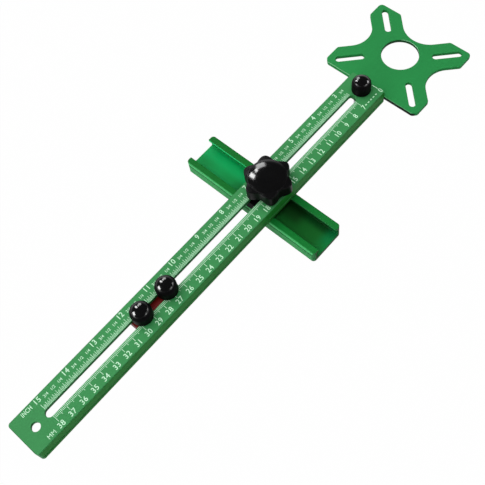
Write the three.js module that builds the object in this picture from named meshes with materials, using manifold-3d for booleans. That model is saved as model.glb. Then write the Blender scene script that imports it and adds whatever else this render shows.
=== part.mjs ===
// Router circle cutting jig. A slotted measuring track carries a four-armed router plate at its head end,
// a cross guide channel clamped under it by a star knob, and a sliding pivot block held by two small knobs.
// Millimetres, +Z up. X runs along the track from its tail to the router plate, +Y to the inch side.
// Inside the model x = 0 is the zero of the track's centimetre scale and z = 0 is the track's top face;
// the whole group is then moved so that the origin is the middle of the object's base.
import * as THREE from "three";
import { mergeVertices } from "three/addons/utils/BufferGeometryUtils.js";
import Module from "manifold-3d";

const wasm = await Module();
wasm.setup();

// Clearances and the overrun of every cut
const gap = 0.3; // between pieces that touch or slide
const seatGap = 0.1; // under a washer, a knob or a bolt head
const overrun = 1;
const weld = 1e-4; // corners closer than this are one corner

// The channel section that the measuring track and the guide share
const trackWidth = 30.2;
const trackHeight = 12.6;
const webThickness = 3.2;
const wallThickness = 3.2;
const lipWidth = 5.3; // from the channel's outer side to its mouth
const lipThickness = 2.1;
const edgeRound = 0.6;
const innerRound = 0.4;
const grooveHeight = 8.8; // middle of the side groove, above the web's outer face
const grooveWidth = 1.2;
const grooveDepth = 0.4;
const endRound = 2.8; // corners of a sawn and rounded end, seen from above

// Measuring track
const trackLength = 354.8;
const trackHeadX = -49.2; // head end, from the scale's zero
const slotHeadMargin = 17;
const slotTailMargin = 20.7;
const hangHoleRadius = 3.3;
const hangHoleMargin = 11.8;

// M6 bolts, studs and washers
const boltRadius = 2.9;
const hexAcross = 9.9;
const hexHeight = 4;
const washerThickness = 1;
const washerRadius = 5.5;

// Router plate
const plateThickness = 3;
const plateLength = 72.5; // straight edge to the tips of the front arms
const plateHalfWidth = 43.3;
const plateHoleMargin = 32.8; // middle of the hole, from the tips of the front arms
const plateHoleRadius = 14.6;
const armHalfWidth = 12;
const frontSlotMargin = 11.8; // middles of the arms' slots, from the front tips
const rearSlotMargin = 13.9; // from the straight edge
const sideSlotMargin = 14.4; // and from the plate's sides
const armSlotLength = 22.6;
const armSlotWidth = 5;
const sideHollowRadius = 18;
const frontHollowWall = 3; // between the hole and the hollow of the front arms
const tipRound = 3.4;
const shoulderRound = 2.4;
const rearChamfer = 3.2;
const tongueLength = 14.3;
const tongueRound = 3.6;
const endBoltMargin = 9.2; // from the track's head end

// Small dome knobs: one at the plate, two on the pivot block
const endKnobRadius = 7.35;
const blockKnobRadius = 7.75;
const smallKnobHeight = 11.4;
const smallKnobSide = 6; // height of the upright side above the washer
const smallKnobFoot = 0.4; // drawn-in foot of the skirt around the washer
const smallTopWall = 5.1; // plastic over the insert
const insertWall = 1.6;

// Star knob
const starRadius = 18.2;
const starLobeDepth = 3.8;
const starLobes = 6;
const starPhaseDegrees = -12;
const starHeight = 14;
const starHubRadius = 9.5;
const starHubHeight = 0.4;
const starEdge = 0.5; // broken edges of the lobes
const starSide = 10.4; // height of the lobes' side, with its edges
const starShelfRise = 0.4; // from the lobes' tips in to the dome
const starShoulderInset = 4; // where the dome begins, inside the lobes' tips
const starTopWall = 4.7;
const starWasherRadius = 8;

// Guide channel and its clamp
const guideLength = 124;
const guideOffsetY = 6; // middle of the channel, from the track's middle line
const guideX = -167.7;
const clampOffset = 2.7; // clamp stud, from the guide's middle towards the router plate
const clampFloorGap = 2; // under the clamp plate
const clampPlateLength = 24;

// Pivot block
const blockX = -282.2;
const blockEndWall = 2.3; // beyond each bolt's pocket
const blockKnobSpacing = 24.1;
const blockNeckDrop = 0.4; // the block stops this much above the track's lower face
const pinRadius = 3;
const pinCollarRadius = 5.6;
const pinCollarThickness = 2;
const pinReach = 11; // below the collar
const pinPoint = 3; // length of the point
const pinSeat = 5; // depth in the block

// Round pieces' sides and the steps of an arc
const roundSides = 32;
const arcSteps = 5;

// Sizes and places that follow from the sizes above
const boltHoleRadius = boltRadius + gap;
const slotWidth = 2 * boltHoleRadius;
const trackBottom = -trackHeight;
const cavityWidth = trackWidth - 2 * wallThickness;
const mouthWidth = trackWidth - 2 * lipWidth;
const cavityTop = -webThickness;
const cavityBottom = -trackHeight + lipThickness;
const slideWidth = cavityWidth - 2 * gap; // pieces that run inside a channel
const neckWidth = mouthWidth - 2 * gap; // and between its lips
const slideTop = cavityTop - gap;
const guideTop = trackBottom - gap;
const guideBottom = guideTop - trackHeight;
const guideCavityTop = guideTop - lipThickness;
const clampPlateTop = guideCavityTop - gap;
const clampPlateBottom = guideBottom + webThickness + clampFloorGap;
const clampX = guideX + clampOffset;
const trackTailX = trackHeadX - trackLength;
const endBoltX = trackHeadX - endBoltMargin;
const plateEdgeX = trackHeadX + gap;
const plateTipX = plateEdgeX + plateLength;
const plateHoleX = plateTipX - plateHoleMargin;
const frontSlotX = plateTipX - frontSlotMargin;
const rearSlotX = plateEdgeX + rearSlotMargin;
const armSlotY = plateHalfWidth - sideSlotMargin;
const plateBottom = cavityBottom + gap;
const plateTop = plateBottom + plateThickness;
const washerTop = seatGap + washerThickness;
const knobFoot = washerTop + seatGap;
const guideFarY = guideOffsetY + guideLength / 2;
const smallInsertHeight = smallKnobHeight - smallTopWall - gap;
const starInsertHeight = starHeight - starTopWall - gap;

const green = { roughness: 0.45, metalness: 0.55 };
const finishes = {
  track: { color: 0x3f9455, ...green },
  plate: { color: 0x268c46, ...green },
  guide: { color: 0x2f9650, ...green },
  knob: { color: 0x0b0b0c, roughness: 0.3, metalness: 0 },
  black: { color: 0x111212, roughness: 0.55, metalness: 0 },
  red: { color: 0x6e120c, roughness: 0.5, metalness: 0 },
  steel: { color: 0xb9bcc0, roughness: 0.32, metalness: 1 },
  brass: { color: 0xb8944a, roughness: 0.35, metalness: 1 },
};

// A closed three.js geometry as a solid for joining and cutting
function solid(geometry) {
  const bare = geometry.index ? geometry.toNonIndexed() : geometry.clone();
  for (const name of Object.keys(bare.attributes)) if (name !== "position") bare.deleteAttribute(name);
  const merged = mergeVertices(bare, weld);
  const triVerts = new Uint32Array(merged.index.array);
  return new wasm.Manifold(
    new wasm.Mesh({ numProp: 3, vertProperties: merged.attributes.position.array, triVerts }),
  );
}

// A named mesh of a finished solid
function piece(name, body, finish) {
  const { vertProperties, triVerts } = body.getMesh();
  const geometry = new THREE.BufferGeometry();
  geometry.setAttribute("position", new THREE.BufferAttribute(new Float32Array(vertProperties), 3));
  geometry.setIndex(new THREE.BufferAttribute(new Uint32Array(triVerts), 1));
  geometry.computeVertexNormals();
  const mesh = new THREE.Mesh(geometry, new THREE.MeshStandardMaterial(finishes[finish]));
  mesh.name = name;
  return mesh;
}

// An outline through corners [x, y, radius], each rounded by an arc of its own radius
function outline(corners) {
  const points = [];
  corners.forEach(([x, y, radius], i) => {
    const here = new THREE.Vector2(x, y);
    const [bx, by] = corners[(i + corners.length - 1) % corners.length];
    const [ax, ay] = corners[(i + 1) % corners.length];
    const back = new THREE.Vector2(bx, by).sub(here).normalize();
    const ahead = new THREE.Vector2(ax, ay).sub(here).normalize();
    const turn = Math.abs(back.cross(ahead));
    if (!radius || turn < 1e-6) {
      points.push(here);
      return;
    }
    const half = Math.acos(THREE.MathUtils.clamp(back.dot(ahead), -1, 1)) / 2;
    const middle = back.clone().add(ahead).normalize();
    const centre = here.clone().addScaledVector(middle, radius / Math.sin(half));
    const first = here.clone().addScaledVector(back, radius / Math.tan(half)).sub(centre);
    const last = here.clone().addScaledVector(ahead, radius / Math.tan(half)).sub(centre);
    const sweep = Math.atan2(first.cross(last), first.dot(last));
    const steps = Math.max(2, Math.round((arcSteps * Math.abs(sweep)) / (Math.PI / 2)));
    for (let s = 0; s <= steps; s++) {
      points.push(first.clone().rotateAround(new THREE.Vector2(), (sweep * s) / steps).add(centre));
    }
  });
  return new THREE.Shape(points);
}

// An outline in plan, extruded from one height to another
function slab(shape, low, high) {
  const geometry = new THREE.ExtrudeGeometry(shape, { depth: high - low, bevelEnabled: false });
  return solid(geometry.translate(0, 0, low));
}

// A rectangle in plan with rounded corners
function plank(x0, x1, y0, y1, low, high, radius = 0) {
  const corners = [
    [x0, y0, radius],
    [x1, y0, radius],
    [x1, y1, radius],
    [x0, y1, radius],
  ];
  return slab(outline(corners), low, high);
}

// An upright round bar, or with fewer sides a hexagon
function bar(x, y, radius, low, high, sides = roundSides) {
  const geometry = new THREE.CylinderGeometry(radius, radius, high - low, sides);
  return solid(geometry.rotateX(Math.PI / 2).translate(x, y, (low + high) / 2));
}

// A slot in plan with round ends, its middle at x, y, turned by an angle
function slotCut(x, y, length, width, angle, low, high) {
  const radius = width / 2;
  const reach = length / 2 - radius;
  const shape = new THREE.Shape();
  shape.absarc(reach, 0, radius, -Math.PI / 2, Math.PI / 2);
  shape.absarc(-reach, 0, radius, Math.PI / 2, (3 * Math.PI) / 2);
  const settings = { depth: high - low, bevelEnabled: false, curveSegments: 8 };
  const geometry = new THREE.ExtrudeGeometry(shape, settings);
  return solid(geometry.rotateZ(angle).translate(x, y, low));
}

// A profile of [radius, height] points turned about an upright axis
function turned(profile, sides = roundSides) {
  const points = profile.map(([radius, height]) => new THREE.Vector2(radius, height));
  const geometry = new THREE.LatheGeometry(points, sides);
  return geometry.rotateX(Math.PI / 2);
}

// Points of a dome from the top of a side up to the crown: a quarter of an ellipse
function dome(radius, low, high, steps) {
  const points = [];
  for (let s = 0; s <= steps; s++) {
    const angle = (s / steps) * (Math.PI / 2);
    points.push([s === steps ? 0 : radius * Math.cos(angle), low + (high - low) * Math.sin(angle)]);
  }
  return points;
}

// The shared channel section, open upwards, with its web's outer face on the line v = 0
function channelSection() {
  const half = trackWidth / 2;
  const inner = cavityWidth / 2;
  const mouth = mouthWidth / 2;
  const under = trackHeight - lipThickness;
  const low = grooveHeight - grooveWidth / 2;
  const high = grooveHeight + grooveWidth / 2;
  const right = [
    [half, 0, edgeRound],
    [half, low, 0],
    [half - grooveDepth, low, 0],
    [half - grooveDepth, high, 0],
    [half, high, 0],
    [half, trackHeight, edgeRound],
    [mouth, trackHeight, edgeRound],
    [mouth, under, 0],
    [inner, under, innerRound],
    [inner, webThickness, innerRound],
  ];
  const left = right.map(([u, v, radius]) => [-u, v, radius]).reverse();
  return outline([...right, ...left]);
}

// A length of channel. The basis gives the world directions of the section's u and v and of the run
function channel(length, u, v, run, start) {
  const geometry = new THREE.ExtrudeGeometry(channelSection(), { depth: length, bevelEnabled: false });
  geometry.applyMatrix4(new THREE.Matrix4().makeBasis(u, v, run));
  return solid(geometry.translate(...start.toArray()));
}

function measuringTrack() {
  const half = trackWidth / 2;
  const section = channel(
    trackLength,
    new THREE.Vector3(0, -1, 0),
    new THREE.Vector3(0, 0, -1),
    new THREE.Vector3(1, 0, 0),
    new THREE.Vector3(trackTailX, 0, 0),
  );
  const low = trackBottom - overrun;
  const plan = outline([
    [trackTailX, -half, endRound],
    [trackHeadX, -half, edgeRound],
    [trackHeadX, half, edgeRound],
    [trackTailX, half, endRound],
  ]);
  const slotTail = trackTailX + slotTailMargin;
  const slotHead = trackHeadX - slotHeadMargin;
  const middle = (slotTail + slotHead) / 2;
  const slot = slotCut(middle, 0, slotHead - slotTail, slotWidth, 0, cavityTop - overrun, overrun);
  const hangHole = bar(trackTailX + hangHoleMargin, 0, hangHoleRadius, cavityTop - overrun, overrun, 24);
  const boltHole = bar(endBoltX, 0, boltHoleRadius, cavityTop - overrun, overrun, 24);
  return section.intersect(slab(plan, low, overrun)).subtract(slot).subtract(hangHole).subtract(boltHole);
}

// The plate's outline: four arms at 45 degrees with hollows between them, and a tongue into the track
function plateOutline() {
  const diagonal = armHalfWidth * Math.SQRT2;
  const top = plateHalfWidth;
  // Each arm's side is a 45 degree line: y - x for a front arm, x + y for a rear arm
  const frontOuter = armSlotY - frontSlotX + diagonal;
  const frontInner = armSlotY - frontSlotX - diagonal;
  const rearInner = armSlotY + rearSlotX + diagonal;
  const tongue = slideWidth / 2;
  // The front hollow's arc touches both front arms and leaves a wall beside the hole
  const hollowX = plateHoleX + plateHoleRadius + frontHollowWall;
  const frontHollowRadius = (hollowX + frontInner) / (Math.SQRT2 - 1);
  const upper = [
    [plateEdgeX - tongueLength, tongue, tongueRound],
    [plateEdgeX, tongue, 0],
    [plateEdgeX, top - rearChamfer, shoulderRound],
    [plateEdgeX + rearChamfer, top, shoulderRound],
    [rearInner - top, top, shoulderRound],
    [(rearInner - frontOuter) / 2, (rearInner + frontOuter) / 2, sideHollowRadius],
    [top - frontOuter, top, shoulderRound],
    [plateTipX, top, tipRound],
    [plateTipX, plateTipX + frontInner, shoulderRound],
  ];
  const lower = upper.map(([px, py, radius]) => [px, -py, radius]).reverse();
  return outline([...upper, [-frontInner, 0, frontHollowRadius], ...lower].reverse());
}

function routerPlate() {
  const low = plateBottom - overrun;
  const high = plateTop + overrun;
  let body = slab(plateOutline(), plateBottom, plateTop);
  body = body.subtract(bar(plateHoleX, 0, plateHoleRadius, low, high, 64));
  for (const side of [1, -1]) {
    for (const [x, lean] of [[frontSlotX, 1], [rearSlotX, -1]]) {
      const angle = (side * lean * Math.PI) / 4;
      const cut = slotCut(x, side * armSlotY, armSlotLength, armSlotWidth, angle, low, high);
      body = body.subtract(cut);
    }
  }
  return body.subtract(bar(endBoltX, 0, boltHoleRadius, low, high, 24));
}

// The packing between the plate's tongue and the track's web
function plateSpacer() {
  const tail = plateEdgeX - tongueLength;
  const half = slideWidth / 2;
  const low = plateTop + gap;
  const body = plank(tail, trackHeadX - gap, -half, half, low, slideTop, shoulderRound);
  return body.subtract(bar(endBoltX, 0, boltHoleRadius, low - overrun, slideTop + overrun, 24));
}

// A hexagon-headed bolt with its head's upper face at the given height, screwed into a small knob
function hexBolt(x, headTop) {
  const head = bar(x, 0, hexAcross / Math.sqrt(3), headTop - hexHeight, headTop, 6);
  return head.add(bar(x, 0, boltRadius, headTop - hexHeight / 2, studTop(smallInsertHeight), 24));
}

function washer(x, radius) {
  const body = bar(x, 0, radius, seatGap, washerTop);
  return body.subtract(bar(x, 0, boltHoleRadius, seatGap - overrun, washerTop + overrun, 24));
}

// The brass insert inside a knob, blind at its top, and the knob's pocket for it
function insert(x, height) {
  const bore = bar(x, 0, boltHoleRadius, knobFoot - overrun, knobFoot + height - insertWall, 24);
  return bar(x, 0, boltHoleRadius + insertWall, knobFoot, knobFoot + height, 24).subtract(bore);
}

function insertPocket(x, height) {
  return bar(x, 0, boltHoleRadius + insertWall + gap, knobFoot - overrun, knobFoot + height + gap, 24);
}

// The top of a stud or bolt that screws into an insert
const studTop = (height) => knobFoot + height - insertWall - gap;

function smallKnob(x, radius) {
  const top = knobFoot + smallKnobHeight;
  const side = knobFoot + smallKnobSide;
  const profile = [
    [0, knobFoot],
    [washerRadius + gap, knobFoot],
    [washerRadius + gap, gap],
    [radius - smallKnobFoot, gap],
    [radius, gap + smallKnobFoot],
    ...dome(radius, side, top, 8),
  ];
  return solid(turned(profile).translate(x, 0, 0)).subtract(insertPocket(x, smallInsertHeight));
}

// The star knob: a turned profile whose outer radius swings in between the lobes
function starKnob() {
  const sideLow = knobFoot + starHubHeight;
  const sideHigh = sideLow + starSide;
  const domeLow = sideHigh + starShelfRise;
  const domeRadius = starRadius - starShoulderInset;
  const top = knobFoot + starHeight;
  const shelf = (sideHigh + domeLow) / 2;
  const profile = [
    [0, knobFoot],
    [starHubRadius, knobFoot],
    [starHubRadius, sideLow],
    [starRadius - starEdge, sideLow],
    [starRadius, sideLow + starEdge],
    [starRadius, sideHigh - starEdge],
    [starRadius - starEdge, sideHigh],
    ...dome(domeRadius, domeLow, top, 6),
  ];
  const geometry = turned(profile, 16 * starLobes);
  const place = geometry.attributes.position;
  const phase = THREE.MathUtils.degToRad(starPhaseDegrees);
  for (let i = 0; i < place.count; i++) {
    const px = place.getX(i);
    const py = place.getY(i);
    const radius = Math.hypot(px, py);
    const still = place.getZ(i) > shelf ? domeRadius : starHubRadius;
    const share = THREE.MathUtils.smoothstep(radius, still, starRadius);
    const swing = 0.5 - 0.5 * Math.cos(starLobes * (Math.atan2(py, px) - phase));
    const scale = radius > 0 ? 1 - (share * swing * starLobeDepth) / radius : 1;
    place.setXY(i, px * scale, py * scale);
  }
  return solid(geometry.translate(clampX, 0, 0)).subtract(insertPocket(clampX, starInsertHeight));
}

// The black key: it fills the track's cavity, passes between the lips and drops into the guide's mouth
function guideKey() {
  const half = trackWidth / 2;
  const wide = slideWidth / 2;
  const neck = neckWidth / 2;
  const shoulder = cavityBottom + gap;
  const body = plank(guideX - half, guideX + half, -wide, wide, shoulder, slideTop, edgeRound)
    .add(plank(guideX - half, guideX + half, -neck, neck, guideTop + seatGap, shoulder + gap))
    .add(plank(guideX - neck, guideX + neck, -neck, neck, guideCavityTop, guideTop + gap));
  return body.subtract(bar(clampX, 0, boltHoleRadius, guideCavityTop - overrun, overrun, 24));
}

// The steel plate that runs in the guide's cavity and holds the clamp stud
function clampPlate() {
  const half = slideWidth / 2;
  const reach = clampPlateLength / 2;
  const body = plank(guideX - half, guideX + half, -reach, reach, clampPlateBottom, clampPlateTop, edgeRound);
  const low = clampPlateBottom - overrun;
  return body.subtract(bar(clampX, 0, boltHoleRadius, low, clampPlateTop + overrun, 24));
}

function clampStud() {
  return bar(clampX, 0, boltRadius, clampPlateBottom, studTop(starInsertHeight), 24);
}

function guideChannel() {
  const half = trackWidth / 2;
  const section = channel(
    guideLength,
    new THREE.Vector3(1, 0, 0),
    new THREE.Vector3(0, 0, 1),
    new THREE.Vector3(0, -1, 0),
    new THREE.Vector3(guideX, guideFarY, guideBottom),
  );
  const back = guideFarY - guideLength;
  const low = guideBottom - overrun;
  const high = guideTop + overrun;
  return section.intersect(plank(guideX - half, guideX + half, back, guideFarY, low, high, endRound));
}

// The red block that carries the pivot pin and the two clamping bolts
const blockBottom = trackBottom + blockNeckDrop;
const headPocket = hexHeight + gap;
const pocketRadius = hexAcross / Math.sqrt(3) + gap;
const blockLength = blockKnobSpacing + 2 * (pocketRadius + blockEndWall);
const knobPlaces = { front: blockX + blockKnobSpacing / 2, rear: blockX - blockKnobSpacing / 2 };

function pivotBlock() {
  const half = blockLength / 2;
  const wide = slideWidth / 2;
  const neck = neckWidth / 2;
  const shoulder = cavityBottom + gap;
  let body = plank(blockX - half, blockX + half, -wide, wide, shoulder, slideTop, edgeRound)
    .add(plank(blockX - half, blockX + half, -neck, neck, blockBottom, shoulder + gap, edgeRound));
  for (const x of Object.values(knobPlaces)) {
    const pocket = bar(x, 0, pocketRadius, blockBottom - overrun, blockBottom + headPocket, 6);
    body = body.subtract(bar(x, 0, boltHoleRadius, blockBottom, overrun, 24)).subtract(pocket);
  }
  const seatTop = blockBottom + pinSeat + gap;
  return body.subtract(bar(blockX, 0, pinRadius + gap, blockBottom - overrun, seatTop, 24));
}

function pivotPin() {
  const collarTop = blockBottom - seatGap;
  const collarLow = collarTop - pinCollarThickness;
  const tip = collarLow - pinReach;
  const profile = [
    [0, tip],
    [pinRadius, tip + pinPoint],
    [pinRadius, collarLow],
    [pinCollarRadius, collarLow],
    [pinCollarRadius, collarTop],
    [pinRadius, collarTop],
    [pinRadius, blockBottom + pinSeat],
    [0, blockBottom + pinSeat],
  ];
  return solid(turned(profile, 24).translate(blockX, 0, 0));
}

// One group for each set of pieces that moves as one
const jig = new THREE.Group();

function carried(...pieces) {
  const group = new THREE.Group();
  group.add(...pieces);
  jig.add(group);
  return group;
}

carried(
  piece("measuring_track", measuringTrack(), "track"),
  piece("router_plate", routerPlate(), "plate"),
  piece("plate_spacer", plateSpacer(), "black"),
  piece("plate_bolt", hexBolt(endBoltX, plateBottom - seatGap), "steel"),
  piece("end_knob_washer", washer(endBoltX, washerRadius), "steel"),
);
carried(
  piece("end_knob", smallKnob(endBoltX, endKnobRadius), "knob"),
  piece("end_knob_insert", insert(endBoltX, smallInsertHeight), "brass"),
);
carried(
  piece("guide_key", guideKey(), "black"),
  piece("clamp_plate", clampPlate(), "steel"),
  piece("clamp_stud", clampStud(), "steel"),
  piece("star_knob_washer", washer(clampX, starWasherRadius), "steel"),
);
carried(piece("guide_channel", guideChannel(), "guide"));
carried(
  piece("star_knob", starKnob(), "knob"),
  piece("star_knob_insert", insert(clampX, starInsertHeight), "brass"),
);
const pivot = carried(piece("pivot_block", pivotBlock(), "red"), piece("pivot_pin", pivotPin(), "steel"));
for (const [place, x] of Object.entries(knobPlaces)) {
  pivot.add(
    piece(place + "_clamp_bolt", hexBolt(x, blockBottom + headPocket - seatGap), "steel"),
    piece(place + "_knob_washer", washer(x, washerRadius), "steel"),
  );
  carried(
    piece(place + "_knob", smallKnob(x, blockKnobRadius), "knob"),
    piece(place + "_knob_insert", insert(x, smallInsertHeight), "brass"),
  );
}

// The origin is the middle of the object's base, seen from above
jig.position.set(-(trackTailX + plateTipX) / 2, -guideOffsetY, -guideBottom);

export default jig;
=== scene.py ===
"""Router circle cutting jig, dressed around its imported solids.

The classes hold their sizes in millimetres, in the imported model's own frame. Meshes are written in metres.
"""
import logging
import math
from abc import ABC, abstractmethod
from dataclasses import dataclass, field
from enum import Enum
from typing import Iterable, Sequence

import bmesh
import bpy
from mathutils import Matrix, Vector


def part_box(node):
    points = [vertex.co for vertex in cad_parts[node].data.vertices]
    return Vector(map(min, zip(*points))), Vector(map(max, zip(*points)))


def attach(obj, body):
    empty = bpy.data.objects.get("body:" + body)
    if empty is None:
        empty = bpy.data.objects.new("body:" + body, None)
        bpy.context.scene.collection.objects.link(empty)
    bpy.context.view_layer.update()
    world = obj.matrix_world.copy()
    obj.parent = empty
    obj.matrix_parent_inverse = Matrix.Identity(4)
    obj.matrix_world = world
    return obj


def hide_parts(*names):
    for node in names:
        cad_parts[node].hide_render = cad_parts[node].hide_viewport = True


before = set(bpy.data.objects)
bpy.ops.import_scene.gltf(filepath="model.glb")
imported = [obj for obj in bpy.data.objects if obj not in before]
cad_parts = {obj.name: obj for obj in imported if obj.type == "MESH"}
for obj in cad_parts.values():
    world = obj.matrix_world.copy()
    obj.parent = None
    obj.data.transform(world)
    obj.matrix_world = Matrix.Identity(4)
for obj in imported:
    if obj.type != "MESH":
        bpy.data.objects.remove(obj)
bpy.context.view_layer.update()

logging.basicConfig(level=logging.INFO, format="%(message)s")
log = logging.getLogger("jig")

MM = 0.001
FULL_TURN = 2 * math.pi
ARC_CHORD = 0.28  # length of one segment of a rounded corner, in millimetres
ARC_FEWEST, ARC_MOST = 4.0, 22.0  # segments on a quarter turn
WELD = 1e-4  # corners closer than this, in millimetres, are one corner
SHARP = math.radians(32)  # sharper edges stay crisp in the shading
BROKEN = math.radians(40)  # sharper edges are broken
FLAT = math.radians(0.5)  # flatter edges inside a face are taken out
SHADING_WEIGHT = 80  # how far the large faces rule the shading of their edges
HEXAGON = 6
OVERRUN = 1.0  # how far a cutter passes through
SLOT_ROUND = 0.9995  # the rounding of a slot's ends, as a share of half its width
SLACK = 0.02  # keeps the faces of a cutter off the faces of the solid
NOISE_RANGE = (0.3, 0.7)  # where the values of a noise pattern lie
GLOW_POWER = 4  # the power of a lamp of one square metre whose glow is 1

Colour = tuple[float, float, float, float]


class Body(Enum):
    """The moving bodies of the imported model."""

    TRACK = "track"
    END_KNOB = "end_knob"
    CARRIAGE = "carriage"
    GUIDE = "guide"
    STAR_KNOB = "star_knob"
    PIVOT = "pivot"
    FRONT_KNOB = "front_knob"
    REAR_KNOB = "rear_knob"


class FinishSlot(Enum):
    """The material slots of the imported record."""

    TRACK_GREEN = "track_green"
    PLATE_GREEN = "plate_green"
    GUIDE_GREEN = "guide_green"
    KNOB_BLACK = "knob_black"
    BLACK_PLASTIC = "black_plastic"
    BLOCK_RED = "block_red"
    STEEL = "steel"
    BRASS = "brass"


class Run(Enum):
    """The direction of a length of channel."""

    ALONG_X = "along x"
    ALONG_Y = "along y"


def paint(red: float, green: float, blue: float) -> Colour:
    """Turns a colour as a screen shows it, 0 to 255, into the linear values that a shader takes.

    Args:
        red: The red share.
        green: The green share.
        blue: The blue share.

    Returns:
        The linear colour with full opacity.
    """
    shares = [value / 255 for value in (red, green, blue)]
    linear = [s / 12.92 if s <= 0.04045 else ((s + 0.055) / 1.055) ** 2.4 for s in shares]
    return (linear[0], linear[1], linear[2], 1.0)


def node_box(node: str) -> tuple[Vector, Vector]:
    """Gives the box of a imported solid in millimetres.

    Args:
        node: The solid's name.

    Returns:
        The lowest and the highest corner.
    """
    low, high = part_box(node)
    return low / MM, high / MM


class Nodes:
    """A node tree, with short calls for the nodes that the surroundings and the finishes share."""

    def __init__(self, tree: bpy.types.NodeTree) -> None:
        """Takes over a tree and empties it.

        Args:
            tree: The node tree.
        """
        self.tree = tree
        self.tree.nodes.clear()

    def new(self, kind: str) -> bpy.types.Node:
        """Adds a node."""
        return self.tree.nodes.new(kind)

    def link(self, source: bpy.types.NodeSocket, target: bpy.types.NodeSocket) -> None:
        """Joins two sockets."""
        self.tree.links.new(source, target)

    def split(self, space: str) -> bpy.types.Node:
        """Adds a node that splits a place into x, y and z.

        Args:
            space: Object or Generated.

        Returns:
            The node.
        """
        place = self.new("ShaderNodeTexCoord")
        split = self.new("ShaderNodeSeparateXYZ")
        self.link(place.outputs[space], split.inputs[0])
        return split

    def ranged(
        self, value: bpy.types.NodeSocket, start: float, end: float, low: float, high: float, kind: str = "LINEAR"
    ) -> bpy.types.NodeSocket:
        """Carries a value from one range over to another.

        Args:
            value: The value.
            start: Where the first range starts.
            end: Where it ends.
            low: The result at the start.
            high: The result at the end.
            kind: LINEAR or SMOOTHSTEP.

        Returns:
            The value socket.
        """
        node = self.new("ShaderNodeMapRange")
        node.interpolation_type = kind
        for name, number in (("From Min", start), ("From Max", end), ("To Min", low), ("To Max", high)):
            node.inputs[name].default_value = number
        self.link(value, node.inputs["Value"])
        return node.outputs["Result"]

    def maths(self, operation: str, first: bpy.types.NodeSocket) -> bpy.types.Node:
        """Adds a maths node.

        Args:
            operation: What it reckons.
            first: Its first value.

        Returns:
            The node.
        """
        node = self.new("ShaderNodeMath")
        node.operation = operation
        self.link(first, node.inputs[0])
        return node

    def seen(self) -> bpy.types.NodeSocket:
        """Adds the test for rays from the camera or off a glossy or clear surface.

        Returns:
            A socket that is 1 for those rays.
        """
        path = self.new("ShaderNodeLightPath")
        result = path.outputs["Is Camera Ray"]
        for name in ("Is Glossy Ray", "Is Transmission Ray"):
            larger = self.maths("MAXIMUM", result)
            self.link(path.outputs[name], larger.inputs[1])
            result = larger.outputs[0]
        return result


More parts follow.
